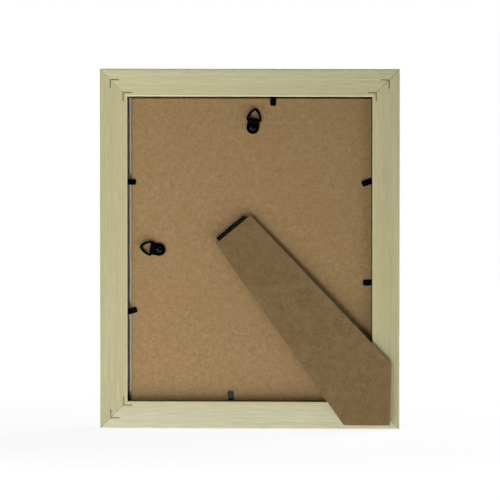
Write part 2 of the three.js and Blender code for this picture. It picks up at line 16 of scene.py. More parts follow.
import bmesh
import bpy
import numpy as np
from bpy.types import ID, Material, Mesh, Node, NodeSocket, NodeTree, Object, World
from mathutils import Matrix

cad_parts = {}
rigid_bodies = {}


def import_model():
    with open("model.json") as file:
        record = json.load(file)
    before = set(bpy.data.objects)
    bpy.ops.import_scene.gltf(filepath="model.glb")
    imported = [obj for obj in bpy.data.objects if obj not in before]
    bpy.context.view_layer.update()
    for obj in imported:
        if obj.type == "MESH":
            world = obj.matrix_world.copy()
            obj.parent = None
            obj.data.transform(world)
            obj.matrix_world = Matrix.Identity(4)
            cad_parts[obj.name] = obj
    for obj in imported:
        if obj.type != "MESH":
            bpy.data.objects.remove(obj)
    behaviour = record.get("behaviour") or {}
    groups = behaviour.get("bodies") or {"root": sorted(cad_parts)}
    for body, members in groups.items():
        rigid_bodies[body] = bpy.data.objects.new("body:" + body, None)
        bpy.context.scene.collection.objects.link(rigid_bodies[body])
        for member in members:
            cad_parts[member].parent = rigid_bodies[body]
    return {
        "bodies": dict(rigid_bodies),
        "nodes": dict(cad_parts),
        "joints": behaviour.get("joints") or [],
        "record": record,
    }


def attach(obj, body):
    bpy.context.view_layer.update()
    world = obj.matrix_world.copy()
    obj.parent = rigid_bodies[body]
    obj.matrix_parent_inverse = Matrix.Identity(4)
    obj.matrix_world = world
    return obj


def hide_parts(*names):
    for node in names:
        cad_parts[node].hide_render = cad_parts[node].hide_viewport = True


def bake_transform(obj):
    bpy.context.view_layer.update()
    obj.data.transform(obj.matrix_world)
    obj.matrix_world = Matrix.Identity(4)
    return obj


Array = np.ndarray
Pair = tuple[float, float]
Point = tuple[float, float, float]
Axes = tuple[Array, Array, Array]
Surface = tuple[Array, list[Array]]  # points one to a row, and faces in groups of equal corner count

log = logging.getLogger("picture_frame")

MM = 0.001
UV_NAME = "girth"
SMOOTH_ANGLE = math.radians(35)
BACK = np.array([0.0, 1.0, 0.0])  # out of the frame's back
UP = np.array([0.0, 0.0, 1.0])
WHITE = (1.0, 1.0, 1.0, 1.0)
SPREAD = {"From Min": 0.3, "From Max": 0.7}  # where most of a noise's values lie


class Slot(Enum):
    """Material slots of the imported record."""

    RAIL = "rail_wood"
    NAIL = "nail_steel"
    GLASS = "glass"
    PAPER = "paper"
    BOARD = "board"
    LEG = "leg_board"
    TAB = "tab_steel"
    BLACK = "black_steel"


class Mix(Enum):
    """Numbers of a Mix node's inputs, whose names aren't unique."""

    FACTOR = 0
    FIRST_VALUE = 2
    SECOND_VALUE = 3
    FIRST = 6  # colours
    SECOND = 7


# Node trees


def linear(hex_colour: str) -> tuple[float, float, float, float]:
    """Turn an sRGB hex colour into linear red, green, blue and alpha.

    Args:
        hex_colour: such as "#bab590".

    Returns:
        The linear colour, with an alpha of 1.
    """
    srgb = np.array([int(hex_colour[i : i + 2], 16) for i in (1, 3, 5)]) / 255
    values = np.where(srgb <= 0.04045, srgb / 12.92, ((srgb + 0.055) / 1.055) ** 2.4)
    return (*values.tolist(), 1.0)


def add_node(tree: NodeTree, kind: str, inputs: dict[Any, Any], **settings: Any) -> Node:
    """Add a node to a tree.

    Args:
        tree: the node tree.
        kind: Blender's name of the node type, after the words ShaderNode.
        inputs: what goes into the node, by the name, number or Mix member of its input. That is a value,
            an output socket, or a node, which gives the first of its outputs that its settings use.
        settings: attributes of the node.

    Returns:
        The new node.
    """
    node = tree.nodes.new(f"ShaderNode{kind}")
    for name, value in settings.items():
        setattr(node, name, value)
    for key, value in inputs.items():
        socket = node.inputs[key.value if isinstance(key, Mix) else key]
        if isinstance(value, Node):
            value = next(output for output in value.outputs if output.enabled)
        if isinstance(value, NodeSocket):
            tree.links.new(value, socket)
        else:
            socket.default_value = value
    return node


def empty_tree(owner: Material | World) -> NodeTree:
    """Switch a material or world to nodes and clear them.

    Args:
        owner: the material or world.

    Returns:
        Its node tree, which is empty.
    """
    owner.use_nodes = True
    owner.node_tree.nodes.clear()
    return owner.node_tree


def per_metre(size: float) -> float:
    """Texture scale whose features are about this many millimetres across."""
    return 1 / (size * MM)


def toned(tree: NodeTree, colour: Node, speckle: Node, light_and_tone_fade: Point, middle: Point) -> Node:
    """Scale a colour by a fine speckle and by a slow drift of tone across the piece, which is partly painted
    light.

    The drift is one, plus the distance from the middle along each axis times the rise along it, and it is
    partly the material's own tone and partly painted light.

    Args:
        tree: the node tree.
        colour: node that gives the colour.
        speckle: node that gives the speckle, as a factor near 1.
        light_and_tone_fade: rise of the tone in a metre along each axis.
        middle: where the drift is 1.

    Returns:
        The node that gives the scaled colour.
    """
    place = add_node(tree, "TexCoord", {}).outputs["Object"]
    centre = tuple(value * MM for value in middle)
    distance = add_node(tree, "VectorMath", {0: place, 1: centre}, operation="SUBTRACT")
    drift = add_node(tree, "VectorMath", {0: distance, 1: light_and_tone_fade}, operation="DOT_PRODUCT")
    tone = add_node(tree, "Math", {0: drift, 1: 1.0}, operation="ADD")
    strength = add_node(tree, "Math", {0: speckle, 1: tone}, operation="MULTIPLY")
    return add_node(tree, "VectorMath", {0: colour, "Scale": strength}, operation="SCALE")


# Surfaces


def ring_quads(rows: int, columns: int) -> Array:
    """Number the quads of a grid whose columns close into a ring.

    Point (row, column) has the number row * columns + column, and each quad joins a column to the next
    one in two rows.

    Args:
        rows: number of rings.
        columns: points in each ring.

    Returns:
        Corner numbers, four to a row.
    """
    row, column = np.meshgrid(np.arange(rows - 1), np.arange(columns), indexing="ij")
    after = (column + 1) % columns
    here, beyond = row * columns, (row + 1) * columns
    corners = [here + column, here + after, beyond + after, beyond + column]
    return np.stack(corners, axis=-1).reshape(-1, 4)


def loft(sections: Array) -> Surface:
    """Join closed sections, one after the other, and cap the first and the last.

    Args:
        sections: points of shape (sections, points in a section, 3).

    Returns:
        Points and faces.
    """
    rows, columns, _ = sections.shape
    first = np.arange(columns)[None, ::-1]
    last = np.arange((rows - 1) * columns, rows * columns)[None, :]
    return sections.reshape(-1, 3), [ring_quads(rows, columns), first, last]


def arc(centre: Pair, radius: float, start: float, end: float, steps: int) -> Array:
    """Points at equal angles along an arc of a circle.

    A point is the centre plus the radius times (cos(angle), sin(angle)).

    Args:
        centre: the circle's centre.
        radius: its radius.
        start: first angle in degrees.
        end: last angle in degrees.
        steps: number of steps.

    Returns:
        Points of shape (steps + 1, 2).
    """
    angle = np.radians(np.linspace(start, end, steps + 1))
    return np.array(centre) + radius * np.stack([np.cos(angle), np.sin(angle)], axis=-1)


def bend(start: Array, corner: Array, end: Array, steps: int = 16) -> Array:
    """Curve of the second degree whose end tangents meet at a corner.

    With t from 0 to 1, it is (1 - t)^2 * start + 2 * t * (1 - t) * corner + t^2 * end.

    Args:
        start: first point.
        corner: where the tangents meet.
        end: last point.
        steps: number of steps.

    Returns:
        Points of shape (steps + 1, 2).
    """
    share = np.linspace(0, 1, steps + 1)[:, None]
    return (1 - share) ** 2 * start + 2 * share * (1 - share) * corner + share**2 * end


def unit_tangents(path: Array) -> Array:
    """Directions of a path at its points, each of length 1.

    A direction runs from the point before to the point after, and is divided by its length.

    Args:
        path: points of shape (points, 2).

    Returns:
        Directions of the same shape.
    """
    tangent = np.gradient(path, axis=0)
    return tangent / np.linalg.norm(tangent, axis=1, keepdims=True)


def revolve(profile: Array, sides: int = 48) -> Array:
    """Turn a profile of (radius, height) about the height axis, which is Y.

    A point is (radius * cos(angle), height, radius * sin(angle)).

    Args:
        profile: points of shape (points, 2), from one end of the axis to the other.
        sides: steps round the axis.

    Returns:
        Rings of shape (points, sides, 3).
    """
    angle = np.linspace(0, 2 * np.pi, sides, endpoint=False)
    radius, height = profile[:, :1], profile[:, 1:]
    rings = [radius * np.cos(angle), np.broadcast_to(height, (len(profile), sides)), radius * np.sin(angle)]
    return np.stack(rings, axis=-1)


def inset(outline: Array, distance: float) -> Array:
    """Move the edges of a convex outline inwards.

    Each corner moves along the sum of its two edges' inward normals, which is divided by one plus the
    cosine between them so that both edges move by the distance.

    Args:
        outline: corners of shape (corners, 2), counter-clockwise.
        distance: how far each edge moves.

    Returns:
        The moved corners.
    """
    edge = np.roll(outline, -1, axis=0) - outline
    edge /= np.linalg.norm(edge, axis=1, keepdims=True)
    normal = np.stack([-edge[:, 1], edge[:, 0]], axis=-1)
    before = np.roll(normal, 1, axis=0)
    share = 1 + np.sum(normal * before, axis=1, keepdims=True)
    return outline + distance * (normal + before) / share


def slab_sections(outline: Array, low: float, high: float, ease: float, steps: int = 4) -> Array:
    """Sections of a flat plate whose edges are eased to quarter rounds.

    From the lower face to the upper one, ring after ring, the outline is inset by ease * (1 - sin(t)) at
    the height where a circle of radius ease has climbed to ease * (1 - cos(t)).

    Args:
        outline: corners of shape (corners, 2), counter-clockwise.
        low: level of the lower face.
        high: level of the upper face.
        ease: radius of the eased edges.
        steps: steps in each quarter round.

    Returns:
        Sections of shape (rings, corners, 3): the outline's two axes and the level.
    """
    turn = np.linspace(0, np.pi / 2, steps + 1)
    insets = ease * (1 - np.sin(turn))
    climbs = ease * (1 - np.cos(turn))
    levels = np.concatenate([low + climbs, high - climbs[::-1]])
    rings = [inset(outline, distance) for distance in np.concatenate([insets, insets[::-1]])]
    level_column = np.broadcast_to(levels[:, None, None], (len(levels), len(outline), 1))
    return np.concatenate([np.array(rings), level_column], axis=-1)


def bar_sections(half_width: Array, height: float, ease: float, steps: int = 3) -> Array:
    """Sections of a flat bar with rounded edges, whose width may change from station to station.

    A section is a rectangle whose corners are quarter rounds, and the round is never more than the half
    width or the half height.

    Args:
        half_width: half the width at each station.
        height: the bar's height.
        ease: radius of the corners.
        steps: steps in each corner.

    Returns:
        Points of shape (stations, points in a section, 2).
    """
    half_height = height / 2
    radius = np.minimum(min(ease, half_height), half_width)[:, None]
    quarters = np.array([0, 90, 180, 270])
    turn = np.radians(quarters[:, None] + np.linspace(0, 90, steps + 1)).ravel()
    corner = np.radians(np.repeat(quarters + 45, steps + 1))
    across = np.sign(np.cos(corner)) * (half_width[:, None] - radius) + radius * np.cos(turn)
    up = np.sign(np.sin(corner)) * (half_height - radius) + radius * np.sin(turn)
    return np.stack([across, up], axis=-1)


def hull(points: Array, directions: int = 720) -> Array:
    """Outline of the smallest convex shape round some points in a plane.

    Once round the circle, the point that lies furthest in each direction is a corner.

    Args:
        points: points of shape (points, 2).
        directions: number of directions, enough for the outline's flattest corner.

    Returns:
        Corners of shape (corners, 2), counter-clockwise.
    """
    distinct = np.unique(np.round(points, 4), axis=0)
    angle = np.linspace(0, 2 * np.pi, directions, endpoint=False)
    furthest = np.argmax(distinct @ np.stack([np.cos(angle), np.sin(angle)]), axis=0)
    return distinct[furthest[furthest != np.roll(furthest, 1)]]


def placed(points: Array, origin: Array, axes: Axes) -> Array:
    """Carry points from a piece's own three axes into the shared frame.

    A point is the origin plus the sum of its three values, each times its axis.

    Args:
        points: points whose last axis is the piece's own X, Y and Z.
        origin: where the piece's own origin lies.
        axes: its three axes in the shared frame.

    Returns:
        Points of the same shape.
    """
    return np.array(origin) + points @ np.array(axes)


def prism(outline: Array, ends: Pair, origin: Array, axes: Axes) -> Surface:
    """A closed block: an outline carried along a straight line, square to it.

    Args:
        outline: corners of shape (corners, 2), on the first and the third axis.
        ends: where the block starts and ends on the second axis.
        origin: where the axes start.
        axes: three axes in the shared frame.

    Returns:
        Points and faces.
    """
    shape = (2, len(outline))
    run = np.broadcast_to(np.array(ends)[:, None], shape)
    first, third = (np.broadcast_to(outline[:, axis], shape) for axis in (0, 1))
    return loft(placed(np.stack([first, run, third], axis=-1), origin, axes))


# Meshes and objects


def add_object(name: str, data: ID) -> Object:
    """Put a mesh, lamp or camera into the scene.

    Args:
        name: the object's name.
        data: the mesh, lamp or camera.

    Returns:
        The new object, at the origin.
    """
    thing = bpy.data.objects.new(name, data)
    bpy.context.scene.collection.objects.link(thing)
    return thing


def tidy_mesh(mesh: Mesh, flatten: bool = False) -> None:
    """Merge doubles, turn faces outwards and shade smooth, with creases kept sharp.

    Args:
        mesh: the mesh.
        flatten: whether triangles that lie in one plane become one face.
    """
    work = bmesh.new()
    work.from_mesh(mesh)
    bmesh.ops.remove_doubles(work, verts=work.verts, dist=1e-7)
    if flatten:
        bmesh.ops.dissolve_limit(work, angle_limit=math.radians(1), verts=work.verts, edges=work.edges)
    bmesh.ops.recalc_face_normals(work, faces=work.faces)
    work.to_mesh(mesh)
    work.free()
    mesh.shade_smooth()
    mesh.set_sharp_from_angle(angle=SMOOTH_ANGLE)


def make_piece(name: str, points: Array, faces: list[Array], corner_uv: Array | None = None) -> Object:
    """Put a closed surface into a new object at the origin.

    Args:
        name: the piece's name.
        points: places in the shared frame, in millimetres, one to a row.
        faces: corner numbers in groups of equal corner count.
        corner_uv: texture places in metres, one for each corner of the faces in turn.

    Returns:
        The new object.
    """
    mesh = bpy.data.meshes.new(name)
    mesh.from_pydata((points * MM).tolist(), [], [face for group in faces for face in group.tolist()])
    if corner_uv is not None:
        layer = mesh.uv_layers.new(name=UV_NAME)
        layer.uv.foreach_set("vector", corner_uv.astype(np.float32).ravel())
    tidy_mesh(mesh)
    piece = add_object(name, mesh)
    weighted = piece.modifiers.new("flat faces stay flat", "WEIGHTED_NORMAL")
    weighted.keep_sharp = True
    return piece


def cut(piece: Object, cutters: list[Surface]) -> None:
    """Cut closed surfaces out of a piece for good.

    Args:
        piece: the piece to cut.
        cutters: the cutting surfaces, which stay clear of each other.
    """
    starts = np.cumsum([0] + [len(points) for points, _ in cutters])
    points = np.concatenate([points for points, _ in cutters])
    faces = [group + start for start, (_, groups) in zip(starts, cutters) for group in groups]
    corner_uv = np.zeros((sum(group.size for group in faces), 2))
    corner_uv[:, 1] = MM  # just inside the bare wood
    tool = make_piece("cutter", points, faces, corner_uv)
    saw = piece.modifiers.new("saw", "BOOLEAN")
    saw.operation = "DIFFERENCE"
    saw.solver = "EXACT"
    saw.object = tool
    piece.modifiers.move(len(piece.modifiers) - 1, 0)
    weighted = piece.modifiers["flat faces stay flat"]
    weighted.show_viewport = False
    graph = bpy.context.evaluated_depsgraph_get()
    result = bpy.data.meshes.new_from_object(piece.evaluated_get(graph))
    piece.modifiers.remove(saw)
    weighted.show_viewport = True
    old = piece.data
    result.name = old.name
    piece.data = result
    bpy.data.meshes.remove(old)
    bpy.data.objects.remove(tool)
    tidy_mesh(result)


# Finishes


@dataclass(frozen=True)
class Finish:
    """What a surface is made of. Each kind of finish has its own shader."""

    name: str

    def shader(self, tree: NodeTree) -> Node:
        """Add the finish's nodes to a tree and return the last of them, its shader."""
        raise NotImplementedError

    def material(self) -> Material:
        """Build the finish.

        Returns:
            The new material.
        """
        material = bpy.data.materials.new(self.name)
        tree = empty_tree(material)
        add_node(tree, "OutputMaterial", {"Surface": self.shader(tree)})
        return material


@dataclass(frozen=True)
class RailWood(Finish):
    """Moulded rail of pale sapwood, bare behind and lacquered satin white on its sides and front.

    The planer leaves the back nearly matt, with long faint streaks of grain. The lacquer fills most of the
    grain, so that only a soft ripple of it shows in the gloss. The rail's own map runs along the rail and
    round its girth, from the line where the lacquer stops: bare wood is above zero and lacquer below. The
    pale band on the rebate's edge is a painted highlight, and the rebate wall's dark colour is painted shade.
    """

    pale: str
    deep: str
    light_and_tone_fade: Point  # rise of the tone in a metre along each axis: partly the plank's, partly painted light
    arris_highlight_share: float = 0.1  # share of the painted highlight along the rebate's edge, up to 1
    inner: str = "#bdb287"  # the back, towards the rebate
    inner_share: float = 0.55
    arris_highlight: str = "#dcd5aa"  # colour of the painted highlight along the rebate's edge
    rebate: str = "#71634a"  # painted shade on its wall, darker than the wood
    lacquer: str = "#d7d6de"
    inner_band: Pair = (11.0, 23.0)  # of the girth, over which that colour comes in
    arris_highlight_band: Pair = (22.6, 23.0)
    rebate_shade_band: Pair = (23.9, 24.3)
    streak: Pair = (150.0, 3.4)  # along and across the grain
    fibre: Pair = (18.0, 0.9)  # drawn coarser than real fibres, so that they show
    speckle: Pair = (0.87, 1.12)  # tone of the darkest and the palest fibres
    wander: float = 9.0  # length of the waves in the lacquer's edge
    wander_depth: float = 0.35
    roughness: Pair = (0.36, 0.72)  # of lacquer and of bare wood
    ripple: Pair = (0.08, 0.25)  # strength of the fibres' relief in each
    relief: float = 0.08
    mirror: float = 0.35  # Blender's specular level
    middle: Point = (0.0, 0.0, 151.5)  # of the frame, where the tone stays as it is

    def bare_wood(self, tree: NodeTree, own: NodeSocket, girth: NodeSocket, fibres: Node) -> Node:
        """Add the colour of the bare wood, which changes round the girth, with a painted highlight on the
        rebate's edge and painted shade on its wall.

        Args:
            tree: the node tree.
            own: places on the rail's own map.
            girth: distance round the rail.
            fibres: node that gives the pattern of fibres.

        Returns:
            The node that gives the colour.
        """
        streaks = self.grain(tree, own, self.streak, detail=3.0)
        tone = add_node(tree, "MapRange", {"Value": streaks, **SPREAD})
        planks = {Mix.FACTOR: tone, Mix.FIRST: linear(self.deep), Mix.SECOND: linear(self.pale)}
        wood = add_node(tree, "Mix", planks, data_type="RGBA")
        bands = (
            (self.inner, self.inner_band, self.inner_share, "SMOOTHSTEP"),
            # painted highlight on the rebate's edge
            (self.arris_highlight, self.arris_highlight_band, self.arris_highlight_share, "LINEAR"),
            # painted shade on the rebate wall
            (self.rebate, self.rebate_shade_band, 1.0, "LINEAR"),
        )
        for colour, (start, end), most, rise in bands:
            reach = {"Value": girth, "From Min": start * MM, "From Max": end * MM, "To Max": most}
            share = add_node(tree, "MapRange", reach, interpolation_type=rise)
            layers = {Mix.FACTOR: share, Mix.FIRST: wood, Mix.SECOND: linear(colour)}
            wood = add_node(tree, "Mix", layers, data_type="RGBA")
        dark, pale = self.speckle
        reach = {"From Min": 0.25, "From Max": 0.75, "To Min": dark, "To Max": pale}
        speckle = add_node(tree, "MapRange", {"Value": fibres, **reach})
        return toned(tree, wood, speckle, self.light_and_tone_fade, self.middle)

    def grain(self, tree: NodeTree, own: NodeSocket, size: Pair, detail: float) -> Node:
        """Add a noise that is drawn out along the rail.

        Args:
            tree: the node tree.
            own: places on the rail's own map.
            size: of its features, along and across the grain.
            detail: how many finer octaves it has.

        Returns:
            The node that gives the noise.
        """
        scale = (per_metre(size[0]), per_metre(size[1]), 1.0)
        drawn = add_node(tree, "Mapping", {"Vector": own, "Scale": scale})
        return add_node(tree, "TexNoise", {"Vector": drawn, "Scale": 1.0, "Detail": detail, "Roughness": 0.6})

    def shader(self, tree: NodeTree) -> Node:
        """Add bare wood and lacquer, which meet at a line that wanders a little.

        Args:
            tree: the node tree.

        Returns:
            The shader.
        """
        own = add_node(tree, "TexCoord", {}).outputs["UV"]
        fibres = self.grain(tree, own, self.fibre, detail=2.0)
        girth = add_node(tree, "SeparateXYZ", {0: own}).outputs["Y"]
        bare = self.bare_wood(tree, own, girth, fibres)
        waves = add_node(tree, "TexNoise", {"Vector": own, "Scale": per_metre(self.wander)})
        depth = self.wander_depth * MM
        stray = add_node(tree, "MapRange", {"Value": waves, "To Min": -depth, "To Max": depth})
        edge = add_node(tree, "Math", {0: girth, 1: stray}, operation="ADD")
        is_bare = add_node(tree, "Math", {0: edge, 1: 0.0}, operation="GREATER_THAN")
        halves = {Mix.FACTOR: is_bare, Mix.FIRST: linear(self.lacquer), Mix.SECOND: bare}
        colour = add_node(tree, "Mix", halves, data_type="RGBA")
        roughness, ripple = (
            add_node(tree, "MapRange", {"Value": is_bare, "To Min": lacquered, "To Max": plain})
            for lacquered, plain in (self.roughness, self.ripple)
        )
        relief = {"Height": fibres, "Strength": ripple, "Distance": self.relief * MM}
        look = {
            "Base Color": colour,
            "Roughness": roughness,
            "Specular IOR Level": self.mirror,
            "Normal": add_node(tree, "Bump", relief),
        }
        return add_node(tree, "BsdfPrincipled", look)


@dataclass(frozen=True)
class Fibreboard(Finish):
    """Hardboard, pressed from wood fibres and left raw.

    The eye sees a matt brown with a cloudy mottle a few millimetres across, short pale and dark fibres in it
    and, here and there, a fleck of bark.
    """

    dark: str
    light: str
    warm: str
    mottle: float = 6.5
    cloud: float = 42.0
    cloud_share: float = 0.6
    fibre: float = 1.3  # drawn coarser than real fibres, so that they show
    contrast: float = 0.15  # how far a fibre strays from the board's tone
    light_and_tone_fade: Point = (0.0, 0.0, 0.0)  # rise of its tone in a metre along each axis: partly the board's, partly painted light
    middle: Point = (0.0, 0.0, 0.0)  # where the tone stays as it is
    flecks: tuple[Point, ...] = ()  # where flecks of bark show
    fleck_size: float = 1.1
    fleck_core: float = 0.33
    fleck_tone: float = 0.68
    relief: float = 0.1
    roughness: float = 0.82
    mirror: float = 0.2  # Blender's specular level

    def shader(self, tree: NodeTree) -> Node:
        """Add the mottle, the clouds, the fibres and the flecks.

        Args:
            tree: the node tree.

        Returns:
            The shader.
        """
        place = add_node(tree, "TexCoord", {}).outputs["Object"]
        grain = {"Vector": place, "Roughness": 0.6}
        mottle, cloud, fibres = (
            add_node(tree, "TexNoise", {**grain, "Scale": per_metre(size), "Detail": detail})
            for size, detail in ((self.mottle, 4.0), (self.cloud, 2.0), (self.fibre, 3.0))
        )
        tone = add_node(tree, "MapRange", {"Value": mottle, "From Min": 0.28, "From Max": 0.72})
        tones = {Mix.FACTOR: tone, Mix.FIRST: linear(self.dark), Mix.SECOND: linear(self.light)}
        mottled = add_node(tree, "Mix", tones, data_type="RGBA")
        reach = {"Value": cloud, "From Min": 0.4, "From Max": 0.7, "To Max": self.cloud_share}
        share = add_node(tree, "MapRange", reach)
        layers = {Mix.FACTOR: share, Mix.FIRST: mottled, Mix.SECOND: linear(self.warm)}
        clouded = add_node(tree, "Mix", layers, data_type="RGBA")
        reach = {"Value": fibres, **SPREAD, "To Min": 1 - self.contrast, "To Max": 1 + self.contrast}
        speckle = add_node(tree, "MapRange", reach)
        colour = toned(tree, clouded, speckle, self.light_and_tone_fade, self.middle)
        for fleck in self.flecks:
            centre = tuple(value * MM for value in fleck)
            distance = add_node(tree, "VectorMath", {0: place, 1: centre}, operation="DISTANCE")
            rim = {"From Min": self.fleck_core * MM, "From Max": self.fleck_size * MM}
            shade = add_node(tree, "MapRange", {"Value": distance, **rim, "To Min": self.fleck_tone})
            colour = add_node(tree, "VectorMath", {0: colour, "Scale": shade}, operation="SCALE")
        relief = {"Height": fibres, "Strength": 0.35, "Distance": self.relief * MM}
        look = {
            "Base Color": colour,
            "Roughness": self.roughness,
            "Specular IOR Level": self.mirror,
            "Normal": add_node(tree, "Bump", relief),
        }
        return add_node(tree, "BsdfPrincipled", look)


@dataclass(frozen=True)
class CoatedSteel(Finish):
    """Pressed steel under a thin dark coat, which shows the tool's faint scuffs as patches of duller gloss.

    Enamel hides the metal and keeps only a coat's gloss. A blued strip has been heated until a dark skin of
    oxide covers it, so it is black where it mirrors a dim room and slate where it mirrors something bright.
    """

    colour: str
    metallic: float
    roughness: Pair  # least and greatest
    tint: str = "#ffffff"  # of what it mirrors
    mirror: float = 0.5  # Blender's specular level
    scuff: float = 2.2
    peel: float = 0.7  # ripples of the coat
    relief: float = 0.03

    def shader(self, tree: NodeTree) -> Node:
        """Add the coat with its scuffs.

        Args:
            tree: the node tree.

        Returns:
            The shader.
        """
        place = add_node(tree, "TexCoord", {}).outputs["Object"]
        scuffs = add_node(tree, "TexNoise", {"Vector": place, "Scale": per_metre(self.scuff), "Detail": 3.0})
        least, most = self.roughness
        reach = {"Value": scuffs, **SPREAD, "To Min": least, "To Max": most}
        peel = add_node(tree, "TexNoise", {"Vector": place, "Scale": per_metre(self.peel)})
        relief = {"Height": peel, "Strength": 0.1, "Distance": self.relief * MM}
        look = {
            "Base Color": linear(self.colour),
            "Metallic": self.metallic,
            "Specular IOR Level": self.mirror,
            "Specular Tint": linear(self.tint),
            "Roughness": add_node(tree, "MapRange", reach),
            "Normal": add_node(tree, "Bump", relief),
        }
        return add_node(tree, "BsdfPrincipled", look)


@dataclass(frozen=True)
class ClearGlass(Finish):
    """Float glass: clear and polished, with the faint green that its iron gives a cut edge."""

    name: str = "float_glass"
    tint: str = "#f8fbf9"
    smear: float = 60.0
    roughest: float = 0.04
    ior: float = 1.52

    def shader(self, tree: NodeTree) -> Node:
        """Add glass that is wiped a little unevenly.

        Args:
            tree: the node tree.

        Returns:
            The shader.
        """
        place = add_node(tree, "TexCoord", {}).outputs["Object"]
        smears = add_node(tree, "TexNoise", {"Vector": place, "Scale": per_metre(self.smear), "Detail": 2.0})
        look = {
            "Base Color": linear(self.tint),
            "Roughness": add_node(tree, "MapRange", {"Value": smears, "To Max": self.roughest}),
            "IOR": self.ior,
            "Transmission Weight": 1.0,
        }
        return add_node(tree, "BsdfPrincipled", look)


@dataclass(frozen=True)
class WhitePaper(Finish):
    """Uncoated white card: matt, with a faint tooth and cloudiness from its felt."""

    name: str = "uncoated_card"
    bright: str = "#fbfcff"
    dull: str = "#f3f5fa"
    cloud: float = 9.0
    tooth: float = 0.8  # drawn coarser than a real card's, so that it shows
    relief: float = 0.05
    roughness: float = 0.9

    def shader(self, tree: NodeTree) -> Node:
        """Add the card's clouds and its tooth.

        Args:
            tree: the node tree.

        Returns:
            The shader.
        """
        place = add_node(tree, "TexCoord", {}).outputs["Object"]
        clouds = add_node(tree, "TexNoise", {"Vector": place, "Scale": per_metre(self.cloud), "Detail": 3.0})
        tones = {Mix.FACTOR: clouds, Mix.FIRST: linear(self.dull), Mix.SECOND: linear(self.bright)}
        tooth = add_node(tree, "TexNoise", {"Vector": place, "Scale": per_metre(self.tooth)})
        relief = {"Height": tooth, "Strength": 0.15, "Distance": self.relief * MM}
        look = {
            "Base Color": add_node(tree, "Mix", tones, data_type="RGBA"),
            "Roughness": self.roughness,
            "Normal": add_node(tree, "Bump", relief),
        }
        return add_node(tree, "BsdfPrincipled", look)


LEG_FLECKS = ((-98.0, 12.6, 25.9), (-19.7, 10.0, 105.5), (-26.9, 10.2, 101.9))
LEG = Fibreboard("dark_hardboard", "#6a5535", "#7c6746", "#745b3c", contrast=0.19, flecks=LEG_FLECKS)
# The board's tone rises towards +X and towards the bottom, partly its own and partly painted light
BOARD = Fibreboard("raw_hardboard", "#8c7149", "#9f825d", "#94774e", mottle=4.5, light_and_tone_fade=(1.0, 0.0, -0.15))
FINISHES = {
    # Planed level with the back and full of its dust, so hardly darker than the wood
    Slot.NAIL: CoatedSteel("dusty_nail_steel", "#a09a75", 0.15, (0.55, 0.75)),
    Slot.GLASS: ClearGlass(),
    Slot.PAPER: WhitePaper(),
    Slot.BOARD: BOARD,
    Slot.LEG: LEG,
    # Smooth from the rolls, so that what it mirrors has clear edges
    Slot.TAB: CoatedSteel("blued_spring_steel", "#020203", 0.0, (0.09, 0.16), tint="#dcefff", mirror=0.62),
    # Stamped and blackened, with soft highlights along the edges
    Slot.BLACK: CoatedSteel("blackened_hinge_steel", "#040405", 0.0, (0.2, 0.3), mirror=0.22),
}

# Thick enamel on straps and rings gives back almost no light, and a rivet's polished head one bright dot
ENAMEL = CoatedSteel("dull_black_enamel", "#030304", 0.0, (0.16, 0.26), mirror=0.025)
POLISH = CoatedSteel("polished_black_rivet", "#030304", 0.0, (0.05, 0.08), mirror=0.22)


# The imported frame, and how pieces are fitted to it


@dataclass
class Workshop:
    """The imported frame, the finishes that its pieces get, and the pieces made so far."""

    frame: dict[str, Any]
    finishes: dict[Slot, Material]
    pieces: list[Object] = field(default_factory=list)

    def points(self, node: str) -> Array:
        """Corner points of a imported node.

        Args:
            node: the node's name.

        Returns:
            Places in millimetres, one to a row.
        """
        vertices = self.frame["nodes"][node].data.vertices
        flat = np.empty(3 * len(vertices), dtype=np.float32)
        vertices.foreach_get("co", flat)
        return flat.reshape(-1, 3).astype(float) / MM

    def main_normal(self, node: str) -> Array:
        """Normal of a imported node's largest face.

        Args:
            node: the node's name.

        Returns:
            The normal, turned towards the back.
        """
        faces = self.frame["nodes"][node].data.polygons
        normal = np.array(max(faces, key=lambda face: face.area).normal)
        return normal * np.sign(normal @ BACK)

    def joint(self, name: str) -> tuple[Array, Array]:
        """Where a joint is.

        Args:
            name: the joint's name.

        Returns:
            Its place in millimetres and its axis.
        """
        found = next(one for one in self.frame["joints"] if one["name"] == name)
        axis = np.array(found["axis"], dtype=float)
        return np.array(found["pos_m"]) / MM, axis / np.linalg.norm(axis)

    def fit(
        self, piece: Object, slot: Slot, body: str | None, *nodes: str, own: Material | None = None
    ) -> None:
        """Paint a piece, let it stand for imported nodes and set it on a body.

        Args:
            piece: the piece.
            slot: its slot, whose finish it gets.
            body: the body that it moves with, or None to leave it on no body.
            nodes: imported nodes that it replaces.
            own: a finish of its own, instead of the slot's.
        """
        piece.data.materials.clear()
        piece.data.materials.append(own or self.finishes[slot])
        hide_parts(*nodes)
        if body:
            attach(piece, body)
        self.pieces.append(piece)

    def paint(self, node: str, slot: Slot) -> None:
        """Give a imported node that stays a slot's finish."""
        for holder in self.frame["nodes"][node].material_slots:
            holder.material = self.finishes[slot]

    def soften(self, node: str, name: str, slot: Slot, body: str, ease: float) -> None:
        """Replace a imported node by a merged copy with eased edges.

        Args:
            node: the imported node.
            name: the new piece's name.
            slot: its slot, whose finish it gets.
            body: the body that it moves with.
            ease: width of the eased edges.
        """
        mesh = self.frame["nodes"][node].data.copy()
        mesh.name = name
        tidy_mesh(mesh, flatten=True)
        piece = add_object(name, mesh)
        bevel = piece.modifiers.new("eased edges", "BEVEL")
        bevel.width = ease * MM
        bevel.segments = 2
        bevel.limit_method = "ANGLE"
        bevel.angle_limit = SMOOTH_ANGLE
        bevel.harden_normals = True
        self.fit(piece, slot, body, node)


# Rails


class Side(Enum):
    """The frame's sides in the order in which their rails follow each other, with quarter turns."""

    BOTTOM = 0
    RIGHT = 1
    TOP = 2
    LEFT = 3


